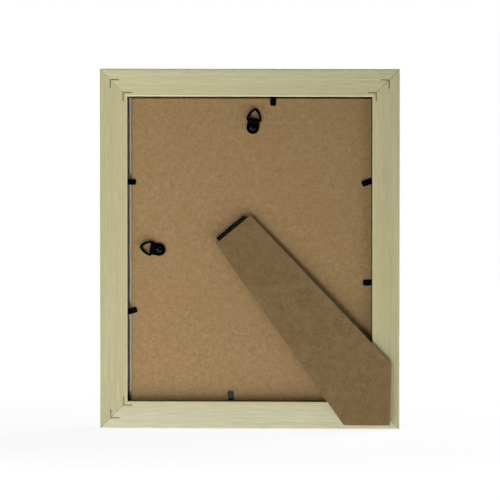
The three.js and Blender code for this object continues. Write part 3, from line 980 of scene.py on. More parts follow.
# How far each mitre stands open at its outer corner, by the rail that starts there
MITRE_GAPS = {Side.BOTTOM: 0.16, Side.RIGHT: 0.12, Side.TOP: 0.36, Side.LEFT: 0.14}

# The plank that each rail was cut from: its pale and deep streaks, and how its tone drifts along it. How pale
# each rail is and how its tone drifts are partly the wood's own and partly painted light.
RAIL_WOODS = {
    Side.BOTTOM: RailWood("sapwood_and_satin_lacquer_bottom", "#c5c3a4", "#bab797", (0.45, 0.0, 0.0)),
    Side.RIGHT: RailWood("sapwood_and_satin_lacquer_right", "#b3ae86", "#a8a37b", (0.0, 0.0, 0.34)),
    # The top rail carries the full painted highlight on its rebate's edge
    Side.TOP: RailWood("sapwood_and_satin_lacquer_top", "#c4c19a", "#b9b58e", (0.89, 0.0, 0.0), arris_highlight_share=1.0),
    Side.LEFT: RailWood("sapwood_and_satin_lacquer_left", "#beb890", "#b3ad86", (0.0, 0.0, 0.37)),
}


@dataclass
class Rails:
    """Four mitred rails with their V-nails."""

    shop: Workshop
    width: float = 23.0  # from the outer side to the rebate wall
    lip: float = 6.0
    lip_level: float = -1.2
    front_round: float = 3.0
    back_round: float = 1.2
    wall_round: float = 0.6
    sight_edge: float = 3.0
    slope: float = 10.0
    slope_turn: float = 3.3
    inner_gap: float = 0.03  # of a mitre at its inner corner
    front_gap: float = 0.1  # the gap in front, as a share of the gap behind
    chips: float = 0.35  # deepest chip that the saw tore out along the mitre
    unchipped: float = 0.72  # share of the mitre that has no chip
    chip_steps: int = 30
    nail_corners: Pair = (8.9, 19.7)
    nail_leg: float = 7.0
    nail_ease: float = 0.12
    nail_slot: float = 0.85  # width of the slot that a V-nail leaves
    nail_slot_end: float = 0.2  # room past the end of its leg
    nail_floor: float = -0.7
    past: float = 2.0  # how far a cutter runs past a face
    grain_shift: float = 1.7  # metres between the grain of one rail and the next
    arc_steps: int = 8
    low: Array = field(init=False)
    high: Array = field(init=False)

    def __post_init__(self) -> None:
        """Take the frame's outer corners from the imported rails."""
        rails = np.concatenate([self.shop.points(f"{side.name.lower()}_rail") for side in Side])
        self.low, self.high = rails.min(axis=0), rails.max(axis=0)

    def axes(self, side: Side) -> tuple[Array, Axes, float]:
        """Place of a rail's own axes.

        The rail starts at one outer corner, its X runs inwards, its Y through the frame and its Z along the
        rail to the next corner.

        Args:
            side: the rail's side.

        Returns:
            The starting corner, the three axes, and the rail's length.
        """
        (x0, _, z0), (x1, _, z1) = self.low, self.high
        starts = {Side.BOTTOM: (x1, z0), Side.RIGHT: (x0, z0), Side.TOP: (x0, z1), Side.LEFT: (x1, z1)}
        x, z = starts[side]
        turn = side.value * math.pi / 2
        inwards = np.array([math.sin(turn), 0.0, math.cos(turn)])
        along = np.array([-math.cos(turn), 0.0, math.sin(turn)])
        length = z1 - z0 if side in (Side.LEFT, Side.RIGHT) else x1 - x0
        return np.array([x, 0.0, z]), (inwards, BACK, along), length

    def profile(self) -> tuple[Array, int]:
        """Outline of a rail's section, from the lip's back edge over the back to the front.

        It is made of straight runs, quarter rounds and, in front, a curve of the second degree whose end
        tangents meet at the slope's turn.

        Returns:
            Points of (distance inwards, level), and the number of the point where the lacquer starts.
        """
        front, back, steps = self.low[1], self.high[1], self.arc_steps
        sight = self.width + self.lip
        wall = arc((self.width - self.wall_round, back - self.wall_round), self.wall_round, 0, 90, steps)
        outer = arc((self.back_round, back - self.back_round), self.back_round, 90, 180, steps)
        nose = arc((self.front_round, front + self.front_round), self.front_round, 180, 270, steps)
        brow = np.array([sight - self.slope, front])
        turn = np.array([sight - self.slope_turn, front])
        foot = np.array([sight, self.lip_level - self.sight_edge])
        slope = bend(brow, turn, foot, 2 * steps)
        lip = np.array([[sight, self.lip_level], [self.width, self.lip_level]])
        across = np.linspace(wall[-1], outer[0], self.chip_steps + 1)[1:-1]
        behind = np.concatenate([lip, wall, across, outer])
        return np.concatenate([behind, nose, slope]), len(behind) - 1

    def torn(self, outline: Array, seed: int) -> Array:
        """How much further back each point of a mitred end lies where the saw tore out a chip.

        Each point on the flat back draws a number from 0 to 1. One above the unchipped share is a chip, whose
        depth rises from nothing at that share to the deepest at 1.

        Args:
            outline: points of the rail's section.
            seed: number of the rail's end.

        Returns:
            A length for each point.
        """
        chance = np.random.default_rng(seed).random(len(outline))
        deep = self.chips * np.clip(chance - self.unchipped, 0, None) / (1 - self.unchipped)
        return np.where(np.isclose(outline[:, 1], self.high[1]), deep, 0.0)

    def ends(self, side: Side, outline: Array, length: float) -> Array:
        """Where a rail's two mitred ends lie along it.

        Both are cut at 45 degrees. The mitre's gap narrows evenly from the outer corner to the inner one,
        and from the back to the front, where the rails meet.

        Args:
            side: the rail's side.
            outline: points of its section.
            length: its length.

        Returns:
            Places of shape (2, points).
        """
        share = outline[:, 0] / (self.width + self.lip)
        depth = (outline[:, 1] - self.low[1]) / (self.high[1] - self.low[1])
        opening = self.front_gap + (1 - self.front_gap) * depth
        after = Side((side.value + 1) % len(Side))
        outer_gap = np.array([[MITRE_GAPS[side]], [MITRE_GAPS[after]]])
        half_gap = opening * (outer_gap + (self.inner_gap - outer_gap) * share) / 2
        torn = np.stack([self.torn(outline, side.value + end * len(Side)) for end in (0, 1)])
        start, finish = outline[:, 0] + math.sqrt(2) * half_gap + torn
        return np.stack([start, length - finish])

    def surface(self, side: Side) -> tuple[Array, list[Array], Array]:
        """The section carried along the rail from one mitred end to the other.

        The rail's own map has the distance along the rail and the distance round the section from the line
        where the lacquer stops.

        Args:
            side: the rail's side.

        Returns:
            Points, faces and corner texture places.
        """
        start, axes, length = self.axes(side)
        outline, lacquer_start = self.profile()
        ends = self.ends(side, outline, length)
        flat = np.broadcast_to(outline, (2, *outline.shape))
        sections = np.concatenate([flat, ends[..., None]], axis=-1)
        points, faces = loft(placed(sections, start, axes))
        closed = np.concatenate([outline, outline[:1]])
        steps = np.linalg.norm(np.diff(closed, axis=0), axis=1)
        girth = np.concatenate([[0.0], np.cumsum(steps)])
        girth = girth[lacquer_start] - girth
        column = np.arange(len(outline))
        rows = np.array([0, 0, 1, 1])[None, :]
        columns = np.stack([column, column + 1, column + 1, column], axis=-1)
        shift = side.value * self.grain_shift
        run = ends[rows, columns % len(outline)] * MM + shift
        quads = np.stack([run, girth[columns] * MM], axis=-1).reshape(-1, 2)
        caps = np.tile([shift, MM], (2 * len(outline), 1))
        return points, faces, np.concatenate([quads, caps])

    def nail_slots(self, side: Side) -> list[Surface]:
        """Slots of the V-nails at both ends of a rail, as prisms over a right angle.

        Args:
            side: the rail's side.

        Returns:
            Points and faces of each slot.
        """
        start, axes, length = self.axes(side)
        levels = (self.nail_floor, self.high[1] + self.past)
        slots = []
        for corner in self.nail_corners:
            outside, inside = corner - self.nail_slot / 2, corner + self.nail_slot / 2
            tip = corner + self.nail_leg + self.nail_slot_end
            one_leg = [[tip, outside], [tip, inside]]
            other_leg = [[inside, tip], [outside, tip]]
            near = np.array([[outside, outside], *one_leg, [inside, inside], *other_leg])
            far = np.stack([near[:, 0], length - near[:, 1]], axis=-1)
            slots += [prism(outline, levels, start, axes) for outline in (near, far)]
        return slots

    def build(self, tab_slots: dict[Side, list[Surface]]) -> None:
        """Make the rails and soften the V-nails.

        Args:
            tab_slots: slots that the tabs' strips need in each rail.
        """
        for side in Side:
            name = side.name.lower()
            rail = make_piece(f"rail_{name}", *self.surface(side))
            cut(rail, self.nail_slots(side) + tab_slots[side])
            self.shop.fit(rail, Slot.RAIL, "frame", f"{name}_rail", own=RAIL_WOODS[side].material())
        for corner in ("bottom_left", "bottom_right", "top_left", "top_right"):
            for place in ("outer", "inner"):
                name = f"nail_{corner}_{place}"
                self.shop.soften(f"v_{name}", name, Slot.NAIL, "frame", self.nail_ease)


# Tabs

# Each tab's name, and the rail that it is driven into
TABS = {
    "top": Side.TOP,
    "bottom": Side.BOTTOM,
    "left_1": Side.LEFT,
    "left_2": Side.LEFT,
    "right_1": Side.RIGHT,
    "right_2": Side.RIGHT,
}


@dataclass
class Tab:
    """One flat strip of spring steel, driven into the rebate wall and bent over the board."""

    shop: Workshop
    name: str  # such as left_1
    side: Side
    width: float = 5.0
    thickness: float = 0.5
    corner: float = 1.3
    corner_steps: int = 8
    ease: float = 0.12
    wall_distance: float = 1.6  # from the rebate wall to the bend line
    half_bend: float = 0.9  # half the length over which it bends
    bend_steps: int = 14
    rise: float = 0.15  # how much higher it lies in the wood than on the board
    slot_clearance: float = 0.2
    slot_past: float = 0.4  # how far its slot opens into the rebate

    def body(self) -> str:
        """Name of the tab's body, such as left_tab_1."""
        side, *number = self.name.split("_")
        return "_".join([side, "tab", *number])

    def axes(self) -> tuple[Array, Axes]:
        """The bend line's middle on the strip's outer face, and the directions along, up and across."""
        origin, across = self.shop.joint(f"{self.body()}_bend")
        return origin, (np.cross(BACK, across), BACK, across)

    def reach(self) -> Pair:
        """How far the strip runs along its own length.

        Returns:
            Where it ends in the wood, and where its tip is.
        """
        origin, (along, _, _) = self.axes()
        tang = (self.shop.points(f"tab_tang_{self.name}") - origin) @ along
        tongue = (self.shop.points(f"tab_tongue_{self.name}") - origin) @ along
        return float(tang.min()), float(tongue.max())

    def surface(self) -> Surface:
        """A flat bar with eased edges, whose half width follows a quarter round at each corner of the tip.

        It leaves the wood a little higher than it lies on the board, and falls over its bend by a share of
        3 * t^2 - 2 * t^3.

        Returns:
            Points and faces.
        """
        origin, axes = self.axes()
        root, tip = self.reach()
        turn = np.linspace(0, np.pi / 2, self.corner_steps + 1)
        rounding = tip - self.corner * (1 - np.sin(turn))
        bending = np.linspace(-self.half_bend, self.half_bend, self.bend_steps + 1)
        straight = np.concatenate([[root], bending, [(tip + self.half_bend) / 2]])
        stations = np.concatenate([straight, rounding])
        narrowing = np.concatenate([np.zeros(len(straight)), self.corner * (1 - np.cos(turn))])
        sections = bar_sections(self.width / 2 - narrowing, self.thickness, self.ease)
        run = np.broadcast_to(stations[:, None], sections.shape[:2])
        share = np.clip((stations + self.half_bend) / (2 * self.half_bend), 0, 1)
        lift = self.rise * (1 - share**2 * (3 - 2 * share)) - self.thickness / 2
        local = np.stack([run, sections[..., 1] + lift[:, None], sections[..., 0]], axis=-1)
        return loft(placed(local, origin, axes))

    def slot(self) -> Surface:
        """The slot that the strip needs in its rail.

        Returns:
            Points and faces of a closed block.
        """
        origin, (along, up, across) = self.axes()
        root, _ = self.reach()
        half_width = self.width / 2 + self.slot_clearance
        half_height = self.thickness / 2 + self.slot_clearance
        corners = np.array([[-1, -1], [1, -1], [1, 1], [-1, 1]]) * [half_width, half_height]
        outline = corners + [0, self.rise - self.thickness / 2]
        ends = (root - self.slot_clearance, self.slot_past - self.wall_distance)
        return prism(outline, ends, origin, (across, along, up))

    def build(self) -> None:
        """Make the bent strip, which is left on no body."""
        origin, (along, _, _) = self.axes()
        strip = make_piece(f"tab_strip_{self.name}", *self.surface())
        self.shop.fit(strip, Slot.TAB, None, f"tab_tang_{self.name}", f"tab_tongue_{self.name}")
        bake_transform(strip)


# Layers in the rebate

# Radii of the hangers' rivets, and the height of their tails, which lie a little inside the board's front
RIVET_SHANK = 1.4
RIVET_TAIL = 2.1
RIVET_TAIL_HEIGHT = 0.6
RIVET_RECESS = 0.1


@dataclass
class Layers:
    """Glass, sheet and board, each a plate with its own kind of edge."""

    shop: Workshop
    glass_arris: float = 0.25
    sheet_edge: float = 0.05
    board_edge: float = 1.0
    leaf_rivet: float = 0.8  # radius of a hinge leaf's rivet
    hole_clearance: float = 0.15
    hole_sides: int = 24
    past: float = 1.0  # how far a hole runs past a face

    def plate(self, node: str, name: str, slot: Slot, ease: float) -> Object:
        """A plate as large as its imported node, with eased edges.

        Args:
            node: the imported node.
            name: the new piece's name.
            slot: its slot, whose finish it gets.
            ease: radius of its edges.

        Returns:
            The new piece.
        """
        points = self.shop.points(node)
        low, high = points.min(axis=0), points.max(axis=0)
        outline = np.array([[low[0], low[2]], [high[0], low[2]], [high[0], high[2]], [low[0], high[2]]])
        sections = slab_sections(outline, low[1], high[1], ease)[..., [0, 2, 1]]
        piece = make_piece(name, *loft(sections))
        self.shop.fit(piece, slot, "frame", node)
        return piece

    def rivet_holes(self) -> list[Surface]:
        """Holes in the board for the rivets of its hinge leaf and hangers, stepped as their shanks are.

        Returns:
            Points and faces of each hole.
        """
        board = self.shop.points("backing_board")[:, 1]
        front, back = board.min() - self.past, board.max() + self.past
        tail_top = board.min() + RIVET_RECESS + RIVET_TAIL_HEIGHT
        tail = [(RIVET_TAIL, front), (RIVET_TAIL, tail_top), (RIVET_SHANK, tail_top), (RIVET_SHANK, back)]
        holes = []
        for node in ("board_leaf_rivet_1", "board_leaf_rivet_2"):
            blind_end = self.shop.points(node)[:, 1].min()
            holes.append(self.hole(node, [(self.leaf_rivet, blind_end), (self.leaf_rivet, back)]))
        for hanger in ("portrait", "landscape"):
            holes.append(self.hole(f"{hanger}_hanger_rivet", tail))
        return holes

    def hole(self, node: str, steps: list[Pair]) -> Surface:
        """A round stepped hole on a rivet's axis.

        Args:
            node: the rivet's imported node.
            steps: radius of the rivet and level at each step, from the front to the back.

        Returns:
            Points and faces of the hole.
        """
        points = self.shop.points(node)
        middle = (points.min(axis=0) + points.max(axis=0)) / 2
        profile = np.array(steps) + [self.hole_clearance, 0]
        return loft(revolve(profile, self.hole_sides) + [middle[0], 0, middle[2]])

    def build(self) -> None:
        """Make the three layers."""
        self.plate("glass_pane", "glass_pane_seamed", Slot.GLASS, self.glass_arris)
        self.plate("picture_sheet", "blank_sheet", Slot.PAPER, self.sheet_edge)
        board = self.plate("backing_board", "back_board", Slot.BOARD, self.board_edge)
        cut(board, self.rivet_holes())


# Easel


@dataclass
class Easel:
    """The slanted leg with its hinge."""

    shop: Workshop
    edge: float = 0.4
    leaf_edge: float = 0.12

    def leg_surface(self) -> Surface:
        """The leg's plate with eased edges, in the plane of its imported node's largest face.

        Returns:
            Points and faces.
        """
        origin, pin = self.shop.joint("leg_hinge")
        normal = self.shop.main_normal("easel_leg")
        axes = (pin, np.cross(normal, pin), normal)
        local = (self.shop.points("easel_leg") - origin) @ np.array(axes).T
        levels = local[:, 2]
        sections = slab_sections(hull(local[:, :2]), levels.min(), levels.max(), self.edge)
        return loft(placed(sections, origin, axes))

    def build(self) -> None:
        """Make the leg, and soften the hinge."""
        leg = make_piece("leg_panel", *self.leg_surface())
        self.shop.fit(leg, Slot.LEG, "leg", "easel_leg")
        self.shop.soften("hinge_board_leaf", "board_leaf", Slot.BLACK, "frame", self.leaf_edge)
        self.shop.soften("hinge_leg_leaf", "leg_leaf", Slot.BLACK, "leg", self.leaf_edge)
        self.shop.soften("hinge_pin", "pin", Slot.BLACK, "frame", self.leaf_edge)
        for leaf in ("board", "leg"):
            for number in (1, 2):
                self.shop.paint(f"{leaf}_leaf_rivet_{number}", Slot.BLACK)


# Hangers


@dataclass
class Hanger:
    """A strap folded round the bar of a triangle ring, on one rivet."""

    shop: Workshop
    name: str
    enamel: Material  # of the strap and the ring
    polish: Material  # of the rivet
    seat: float = 0.1  # gap between the board and the strap
    strap_thickness: float = 0.65
    layer_gap: float = 0.03
    half_width: float = 5.2
    ramp: float = 2.6  # from the bar to where the two layers meet
    neck: float = 1.9  # from the bar to where the upper layer has narrowed
    low_neck: float = 0.5  # and the lower one
    shoulder_length: float = 0.7  # over which a layer narrows
    strap_ease: float = 0.2
    strap_hole: float = 1.55
    hole_levels: Pair = (-1.0, 4.0)  # ends of the tool that cuts it
    hole_sides: int = 32
    tip_square: float = 0.02  # least square of the half width, so that the tip has an edge
    tip_steps: int = 12
    loop_steps: int = 28
    wire: float = 0.95  # radius
    wire_clearance: float = 0.1
    wire_sides: int = 20
    ring_half_bar: float = 5.75
    ring_height: float = 9.8
    ring_bow: float = 1.9  # how far the point that a leg bends round lies outside the straight leg
    ring_corner: float = 1.6
    ring_apex: float = 1.6
    ring_split: float = 0.4
    rivet_head: float = 2.6
    rivet_dome: float = 1.1
    rivet_rim: float = 0.15  # height of the upright rim under the dome
    rivet_end: float = 0.05  # radius of the flat at either end
    slip: float = 0.05  # room under the rivet's head

    def axes(self) -> tuple[Array, Axes, float]:
        """Place of the hanger's own axes.

        Returns:
            The rivet's place on the board, the directions along the ring's bar, away from the board and
            towards the ring, and the distance from the rivet to the bar.
        """
        rivet, _ = self.shop.joint(f"{self.name}_strap_swivel")
        bar, _ = self.shop.joint(f"{self.name}_ring_swing")
        towards = (bar - rivet) * [1, 0, 1]
        reach = float(np.linalg.norm(towards))
        towards = towards / reach
        return rivet, (np.cross(BACK, towards), BACK, towards), reach

    def shoulder(self) -> Array:
        """The point that the ring's right leg bends round.

        Returns:
            Its place across and up, off the middle of the straight leg.
        """
        bow = np.array([self.ring_height, self.ring_half_bar])
        middle = np.array([self.ring_half_bar, self.ring_height]) / 2
        return middle + self.ring_bow * bow / np.linalg.norm(bow)

    def loop_half_width(self) -> float:
        """Half the loop's width.

        Returns:
            A width that clears the ring's legs where they pass the loop's outside.
        """
        across, up = self.shoulder()
        slope = (self.ring_half_bar - across) / up
        outside = self.wire + self.wire_clearance + self.strap_thickness
        leg_inside = self.ring_half_bar - outside * slope - self.wire * math.hypot(1, slope)
        return leg_inside - self.wire_clearance

    def strap_path(self, reach: float) -> Array:
        """Side view of the strip's middle line, from the tip of its lower layer to that of its upper one.

        It runs flat under the bar, round it on a circle and down a straight ramp onto the lower layer. The
        ramp leaves the circle where it is tangent to it.

        Args:
            reach: from the rivet to the bar.

        Returns:
            Points of (distance towards the ring, level).
        """
        half = self.strap_thickness / 2
        radius = self.wire + self.wire_clearance + half
        lower = self.seat + half
        upper = lower + self.strap_thickness + self.layer_gap
        bar_level = lower + radius
        ramp_foot = np.array([reach - self.ramp, upper])
        fall = math.atan2(bar_level - upper, self.ramp)
        spread = math.acos(radius / math.hypot(self.ramp, bar_level - upper))
        leave = 180 + math.degrees(fall - spread)
        tips = -self.half_width * np.cos(np.linspace(0, np.pi / 2, self.tip_steps + 1))
        under = np.stack([tips, np.full_like(tips, lower)], axis=-1)
        narrowing = [reach - self.low_neck - self.shoulder_length, reach - self.low_neck]
        flat = np.stack([narrowing, [lower, lower]], axis=-1)
        loop = arc((reach, bar_level), radius, -90, leave, self.loop_steps)
        over = np.stack([tips[::-1], np.full_like(tips, upper)], axis=-1)
        ramp_middle = (loop[-1] + ramp_foot) / 2
        return np.concatenate([under, flat, loop, [ramp_middle, ramp_foot], over])

    def strap_surface(self) -> Surface:
        """The strip's section carried along its path, with its height along the path's normal.

        The half width is that of a disc round the rivet at the tips and then the full width. It narrows to
        the loop, in the upper layer where the ramp starts and in the lower layer under the ring's bar.

        Returns:
            Points and faces.
        """
        rivet, axes, reach = self.axes()
        path = self.strap_path(reach)
        towards, level = path.T
        disc = np.sqrt(np.clip(self.half_width**2 - np.minimum(towards, 0) ** 2, self.tip_square, None))
        is_lower = np.isclose(level, self.seat + self.strap_thickness / 2)
        past_neck = towards - reach + np.where(is_lower, self.low_neck, self.neck)
        plan = np.interp(past_neck, [-self.shoulder_length, 0], [self.half_width, self.loop_half_width()])
        sections = bar_sections(np.minimum(disc, plan), self.strap_thickness, self.strap_ease)
        normal = unit_tangents(path)[:, ::-1] * [-1, 1]
        side_view = path[:, None, :] + sections[..., 1:] * normal[:, None, :]
        local = np.stack([sections[..., 0], side_view[..., 1], side_view[..., 0]], axis=-1)
        return loft(placed(local, rivet, axes))

    def ring_path(self) -> Array:
        """The ring's middle line, a bowed triangle that is split in the middle of its bar.

        Each corner, each leg and the apex is a curve of the second degree, and each starts the way that the
        one before it ends.

        Returns:
            Points of (distance along the bar, distance from it).
        """
        right, top = np.array([self.ring_half_bar, 0.0]), np.array([0.0, self.ring_height])
        shoulder = self.shoulder()
        mirrored = np.array([-1.0, 1.0])
        start, finish = (
            point + (shoulder - point) * distance / np.linalg.norm(shoulder - point)
            for point, distance in ((right, self.ring_corner), (top, self.ring_apex))
        )
        split = np.array([[self.ring_split / 2, 0.0]])
        corner = bend(right - [self.ring_corner, 0.0], right, start)
        leg = bend(start, shoulder, finish)
        half = np.concatenate([split, corner, leg[1:]])
        crown = bend(finish, top, finish * mirrored)
        return np.concatenate([half, crown[1:-1], half[::-1] * mirrored])

    def ring_surface(self) -> Surface:
        """A round wire carried along the ring's middle line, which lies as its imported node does.

        A section is a circle: the wire's radius times cos(angle) outwards from the line and times sin(angle)
        out of the ring's plane.

        Returns:
            Points and faces.
        """
        _, (bar_axis, _, _), _ = self.axes()
        bar, _ = self.shop.joint(f"{self.name}_ring_swing")
        ring = self.shop.points(f"{self.name}_hanger_ring")
        out = ring[np.argmax(np.linalg.norm(ring - bar, axis=1))] - bar
        out = out - bar_axis * (out @ bar_axis)
        out /= np.linalg.norm(out)
        path = self.ring_path()
        outward = unit_tangents(path)[:, ::-1] * [1, -1]
        angle = np.linspace(0, 2 * np.pi, self.wire_sides, endpoint=False)
        across = self.wire * np.cos(angle)
        flat = path[:, None, :] + across[None, :, None] * outward[:, None, :]
        lift = np.broadcast_to(self.wire * np.sin(angle), flat.shape[:2])
        local = np.concatenate([flat, lift[..., None]], axis=-1)
        return loft(placed(local, bar, (bar_axis, out, np.cross(bar_axis, out))))

    def rivet_surface(self) -> Surface:
        """The rivet turned about its axis: a flat tail, the shank and a domed head.

        The dome is a quarter of an ellipse on a short upright rim.

        Returns:
            Points and faces.
        """
        rivet, axes, _ = self.axes()
        tail_end = self.shop.points("backing_board")[:, 1].min() - rivet[1] + RIVET_RECESS
        tail_top = tail_end + RIVET_TAIL_HEIGHT
        head = self.seat + 2 * self.strap_thickness + self.slip
        rim = head + self.rivet_rim
        turn = np.linspace(0, np.pi / 2, self.tip_steps + 1)[:-1]
        dome = np.stack([self.rivet_head * np.cos(turn), rim + self.rivet_dome * np.sin(turn)], axis=-1)
        low = [
            [self.rivet_end, tail_end],
            [RIVET_TAIL, tail_end],
            [RIVET_TAIL, tail_top],
            [RIVET_SHANK, tail_top],
            [RIVET_SHANK, head],
            [self.rivet_head - self.rivet_rim, head],
        ]
        profile = np.concatenate([low, dome, [[self.rivet_end, rim + self.rivet_dome]]])
        return loft(placed(revolve(profile), rivet, axes))

    def build(self) -> None:
        """Make the strap, the ring and the rivet."""
        rivet, axes, _ = self.axes()
        strap = make_piece(f"strap_{self.name}", *self.strap_surface())
        hole = np.array([[self.strap_hole, level] for level in self.hole_levels])
        cut(strap, [loft(placed(revolve(hole, self.hole_sides), rivet, axes))])
        ring = make_piece(f"ring_{self.name}", *self.ring_surface())
        head = make_piece(f"rivet_{self.name}", *self.rivet_surface())
        fittings = (
            (strap, f"{self.name}_strap", "strap", self.enamel),
            (ring, f"{self.name}_ring", "ring", self.enamel),
            (head, "frame", "rivet", self.polish),
        )
        for piece, body, part, own in fittings:
            self.shop.fit(piece, Slot.BLACK, body, f"{self.name}_hanger_{part}", own=own)


# Studio


def aim(thing: Object, place: Array, target: Array) -> None:
    """Put a lamp or camera at a place and turn it towards a target, with its top up.

    Args:
        thing: the lamp or camera, which looks along its own -Z.
        place: where it stands, in metres.
        target: what it looks at, in metres.
    """
    back = (place - target) / np.linalg.norm(place - target)
    right = np.cross(UP, back)
    right /= np.linalg.norm(right)
    top = np.cross(back, right)
    matrix = np.eye(4)
    matrix[:3, :3] = np.stack([right, top, back], axis=-1)
    matrix[:3, 3] = place
    thing.matrix_world = matrix.T.tolist()


@dataclass(frozen=True)
class Lamp:
    """A soft lamp that looks at a point. Places and sizes are in metres and power in watts."""

    name: str
    place: Point
    size: Pair
    power: float
    target: Point = (0.0, 0.0, 0.15)

    def build(self) -> None:
        """Make the lamp."""
        data = bpy.data.lights.new(self.name, "AREA")
        data.shape = "RECTANGLE"
        data.size, data.size_y = self.size
        data.energy = self.power
        aim(add_object(self.name, data), np.array(self.place), np.array(self.target))


LAMPS = (
    Lamp("left_lamp", (0.62, 0.8, 0.15), (0.2, 0.2), 2.65),
    Lamp("low_left_lamp", (0.6, 0.8, -0.5), (0.4, 0.4), 1.65),
    Lamp("low_lamp", (0.0, 1.68, -1.65), (1.0, 1.0), 24.5),
    Lamp("foot_lamp", (0.0, 0.72, -2.1), (1.1, 0.5), 9.5),
    Lamp("left_foot_lamp", (1.58, 0.78, -1.55), (0.9, 0.9), 21.0),
    Lamp("right_foot_lamp", (-1.42, 0.6, -1.47), (0.75, 0.75), 29.0),
    Lamp("low_right_lamp", (-0.9, 0.6, -1.9), (0.75, 0.75), 10.2),
    Lamp("right_lamp", (-1.8, 0.55, -0.8), (0.75, 0.75), 12.5),
    Lamp("front_lamp", (-0.95, -1.0, 0.7), (0.9, 0.9), 13.5),
    Lamp("top_lamp", (0.0, 0.05, 1.1), (0.7, 0.3), 4.6),
)


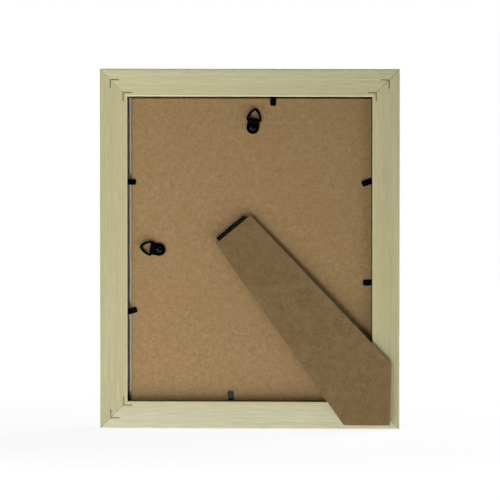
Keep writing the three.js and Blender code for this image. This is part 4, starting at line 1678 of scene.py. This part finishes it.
@dataclass(frozen=True)
class Studio:
    """Pale table, soft lamps, dim room and a camera with a long lens behind the frame."""

    turn: float = 2.5  # degrees that the camera stands to the right
    climb: float = 3.2  # degrees above the level
    lens: float = 420.0
    sensor: float = 36.0
    distance: float = 4907.0
    target: Point = (-0.3, 9.0, 150.87)
    clip: Pair = (0.1, 100.0)  # metres
    table_front: float = 0.7  # metres towards the camera
    table_back: float = 40.0  # metres away from it
    table_half: float = 14.0  # half its width in metres
    table_colour: str = "#b8b8ba"  # in the light that it sends to the frame
    shadow_colour: str = "#828284"  # of the plain surface under its glow, which takes the shadows
    glow_reach: Pair = (0.2, 0.8)  # metres from the frame over which its glow rises
    least_glow: float = 0.84
    fill: float = 0.008  # how bright the room is as a light
    room: float = 0.02  # how bright the room behind the camera is in reflections
    backdrop: float = 0.5  # how bright the backdrop behind the frame is in reflections
    horizon: Pair = (-0.1, 0.25)  # where the backdrop gives way to the room

    def world(self) -> None:
        """Even fill light, white to the camera, with a dim room on the camera's side in reflections."""
        world = bpy.data.worlds.new("studio")
        bpy.context.scene.world = world
        tree = empty_tree(world)
        direction = add_node(tree, "TexCoord", {}).outputs["Generated"]
        towards = add_node(tree, "SeparateXYZ", {0: direction}).outputs["Y"]
        start, end = self.horizon
        reach = {"From Min": start, "From Max": end, "To Min": self.backdrop, "To Max": self.room}
        mirrored = add_node(tree, "MapRange", {"Value": towards, **reach}, interpolation_type="SMOOTHSTEP")
        ray = add_node(tree, "LightPath", {}).outputs
        glossy_or_through = {0: ray["Is Glossy Ray"], 1: ray["Is Transmission Ray"]}
        bounced = add_node(tree, "Math", glossy_or_through, operation="MAXIMUM")
        dim = {Mix.FACTOR: bounced, Mix.FIRST_VALUE: self.fill, Mix.SECOND_VALUE: mirrored}
        lit = add_node(tree, "Mix", dim)
        shown = {Mix.FACTOR: ray["Is Camera Ray"], Mix.FIRST_VALUE: lit, Mix.SECOND_VALUE: 1.0}
        strength = add_node(tree, "Mix", shown)
        background = add_node(tree, "Background", {"Color": WHITE, "Strength": strength})
        add_node(tree, "OutputWorld", {"Surface": background})

    def table(self) -> None:
        """A pale plain table, white to the camera and in reflections, which keeps the frame's shadow.

        The low lamps stand below it, so it lets lamplight through.
        """
        x, front, back = self.table_half, self.table_front, -self.table_back
        mesh = bpy.data.meshes.new("table")
        corners = [(-x, back, 0.0), (x, back, 0.0), (x, front, 0.0), (-x, front, 0.0)]
        mesh.from_pydata(corners, [], [(0, 1, 2, 3)])
        table = add_object("table", mesh)
        table.visible_shadow = False
        material = bpy.data.materials.new("pale_table")
        mesh.materials.append(material)
        tree = empty_tree(material)
        place = add_node(tree, "TexCoord", {}).outputs["Object"]
        distance = add_node(tree, "VectorMath", {0: place}, operation="LENGTH")
        near, far = self.glow_reach
        reach = {"From Min": near, "From Max": far, "To Min": self.least_glow}
        glow = add_node(tree, "MapRange", {"Value": distance, **reach}, interpolation_type="SMOOTHSTEP")
        ray = add_node(tree, "LightPath", {}).outputs
        seen = ray["Is Camera Ray"]
        for kind in ("Is Glossy Ray", "Is Transmission Ray"):
            seen = add_node(tree, "Math", {0: seen, 1: ray[kind]}, operation="MAXIMUM")
        plain = add_node(tree, "BsdfDiffuse", {"Color": linear(self.table_colour)})
        shaded = add_node(tree, "BsdfDiffuse", {"Color": linear(self.shadow_colour)})
        white = add_node(tree, "Emission", {"Color": WHITE, "Strength": glow})
        shown = add_node(tree, "AddShader", {0: white, 1: shaded})
        both = add_node(tree, "MixShader", {0: seen, 1: plain, 2: shown})
        add_node(tree, "OutputMaterial", {"Surface": both})

    def camera(self) -> None:
        """A long lens behind the frame, a little to the right and above."""
        data = bpy.data.cameras.new("camera")
        data.lens = self.lens
        data.sensor_width = self.sensor
        data.clip_start, data.clip_end = self.clip
        camera = add_object("camera", data)
        turn, climb = math.radians(self.turn), math.radians(self.climb)
        back = [-math.sin(turn) * math.cos(climb), math.cos(turn) * math.cos(climb), math.sin(climb)]
        target = np.array(self.target) * MM
        aim(camera, target + np.array(back) * self.distance * MM, target)
        bpy.context.scene.camera = camera

    def build(self) -> None:
        """Set up the studio."""
        bpy.context.scene.view_settings.view_transform = "Standard"
        self.world()
        self.table()
        for lamp in LAMPS:
            lamp.build()
        self.camera()


def main() -> None:
    """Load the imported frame, build each sub-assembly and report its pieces."""
    logging.basicConfig(level=logging.INFO, format="%(message)s")
    shop = Workshop(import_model(), {slot: finish.material() for slot, finish in FINISHES.items()})
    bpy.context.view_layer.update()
    Studio().build()

    tabs = [Tab(shop, name, side) for name, side in TABS.items()]
    Rails(shop).build({side: [tab.slot() for tab in tabs if tab.side is side] for side in Side})
    for tab in tabs:
        tab.build()
    Layers(shop).build()
    Easel(shop).build()
    enamel, polish = ENAMEL.material(), POLISH.material()
    for name in ("portrait", "landscape"):
        Hanger(shop, name, enamel, polish).build()
    for piece in shop.pieces:
        log.info("%s: %d faces", piece.name, len(piece.data.polygons))


if __name__ == "__main__":
    main()
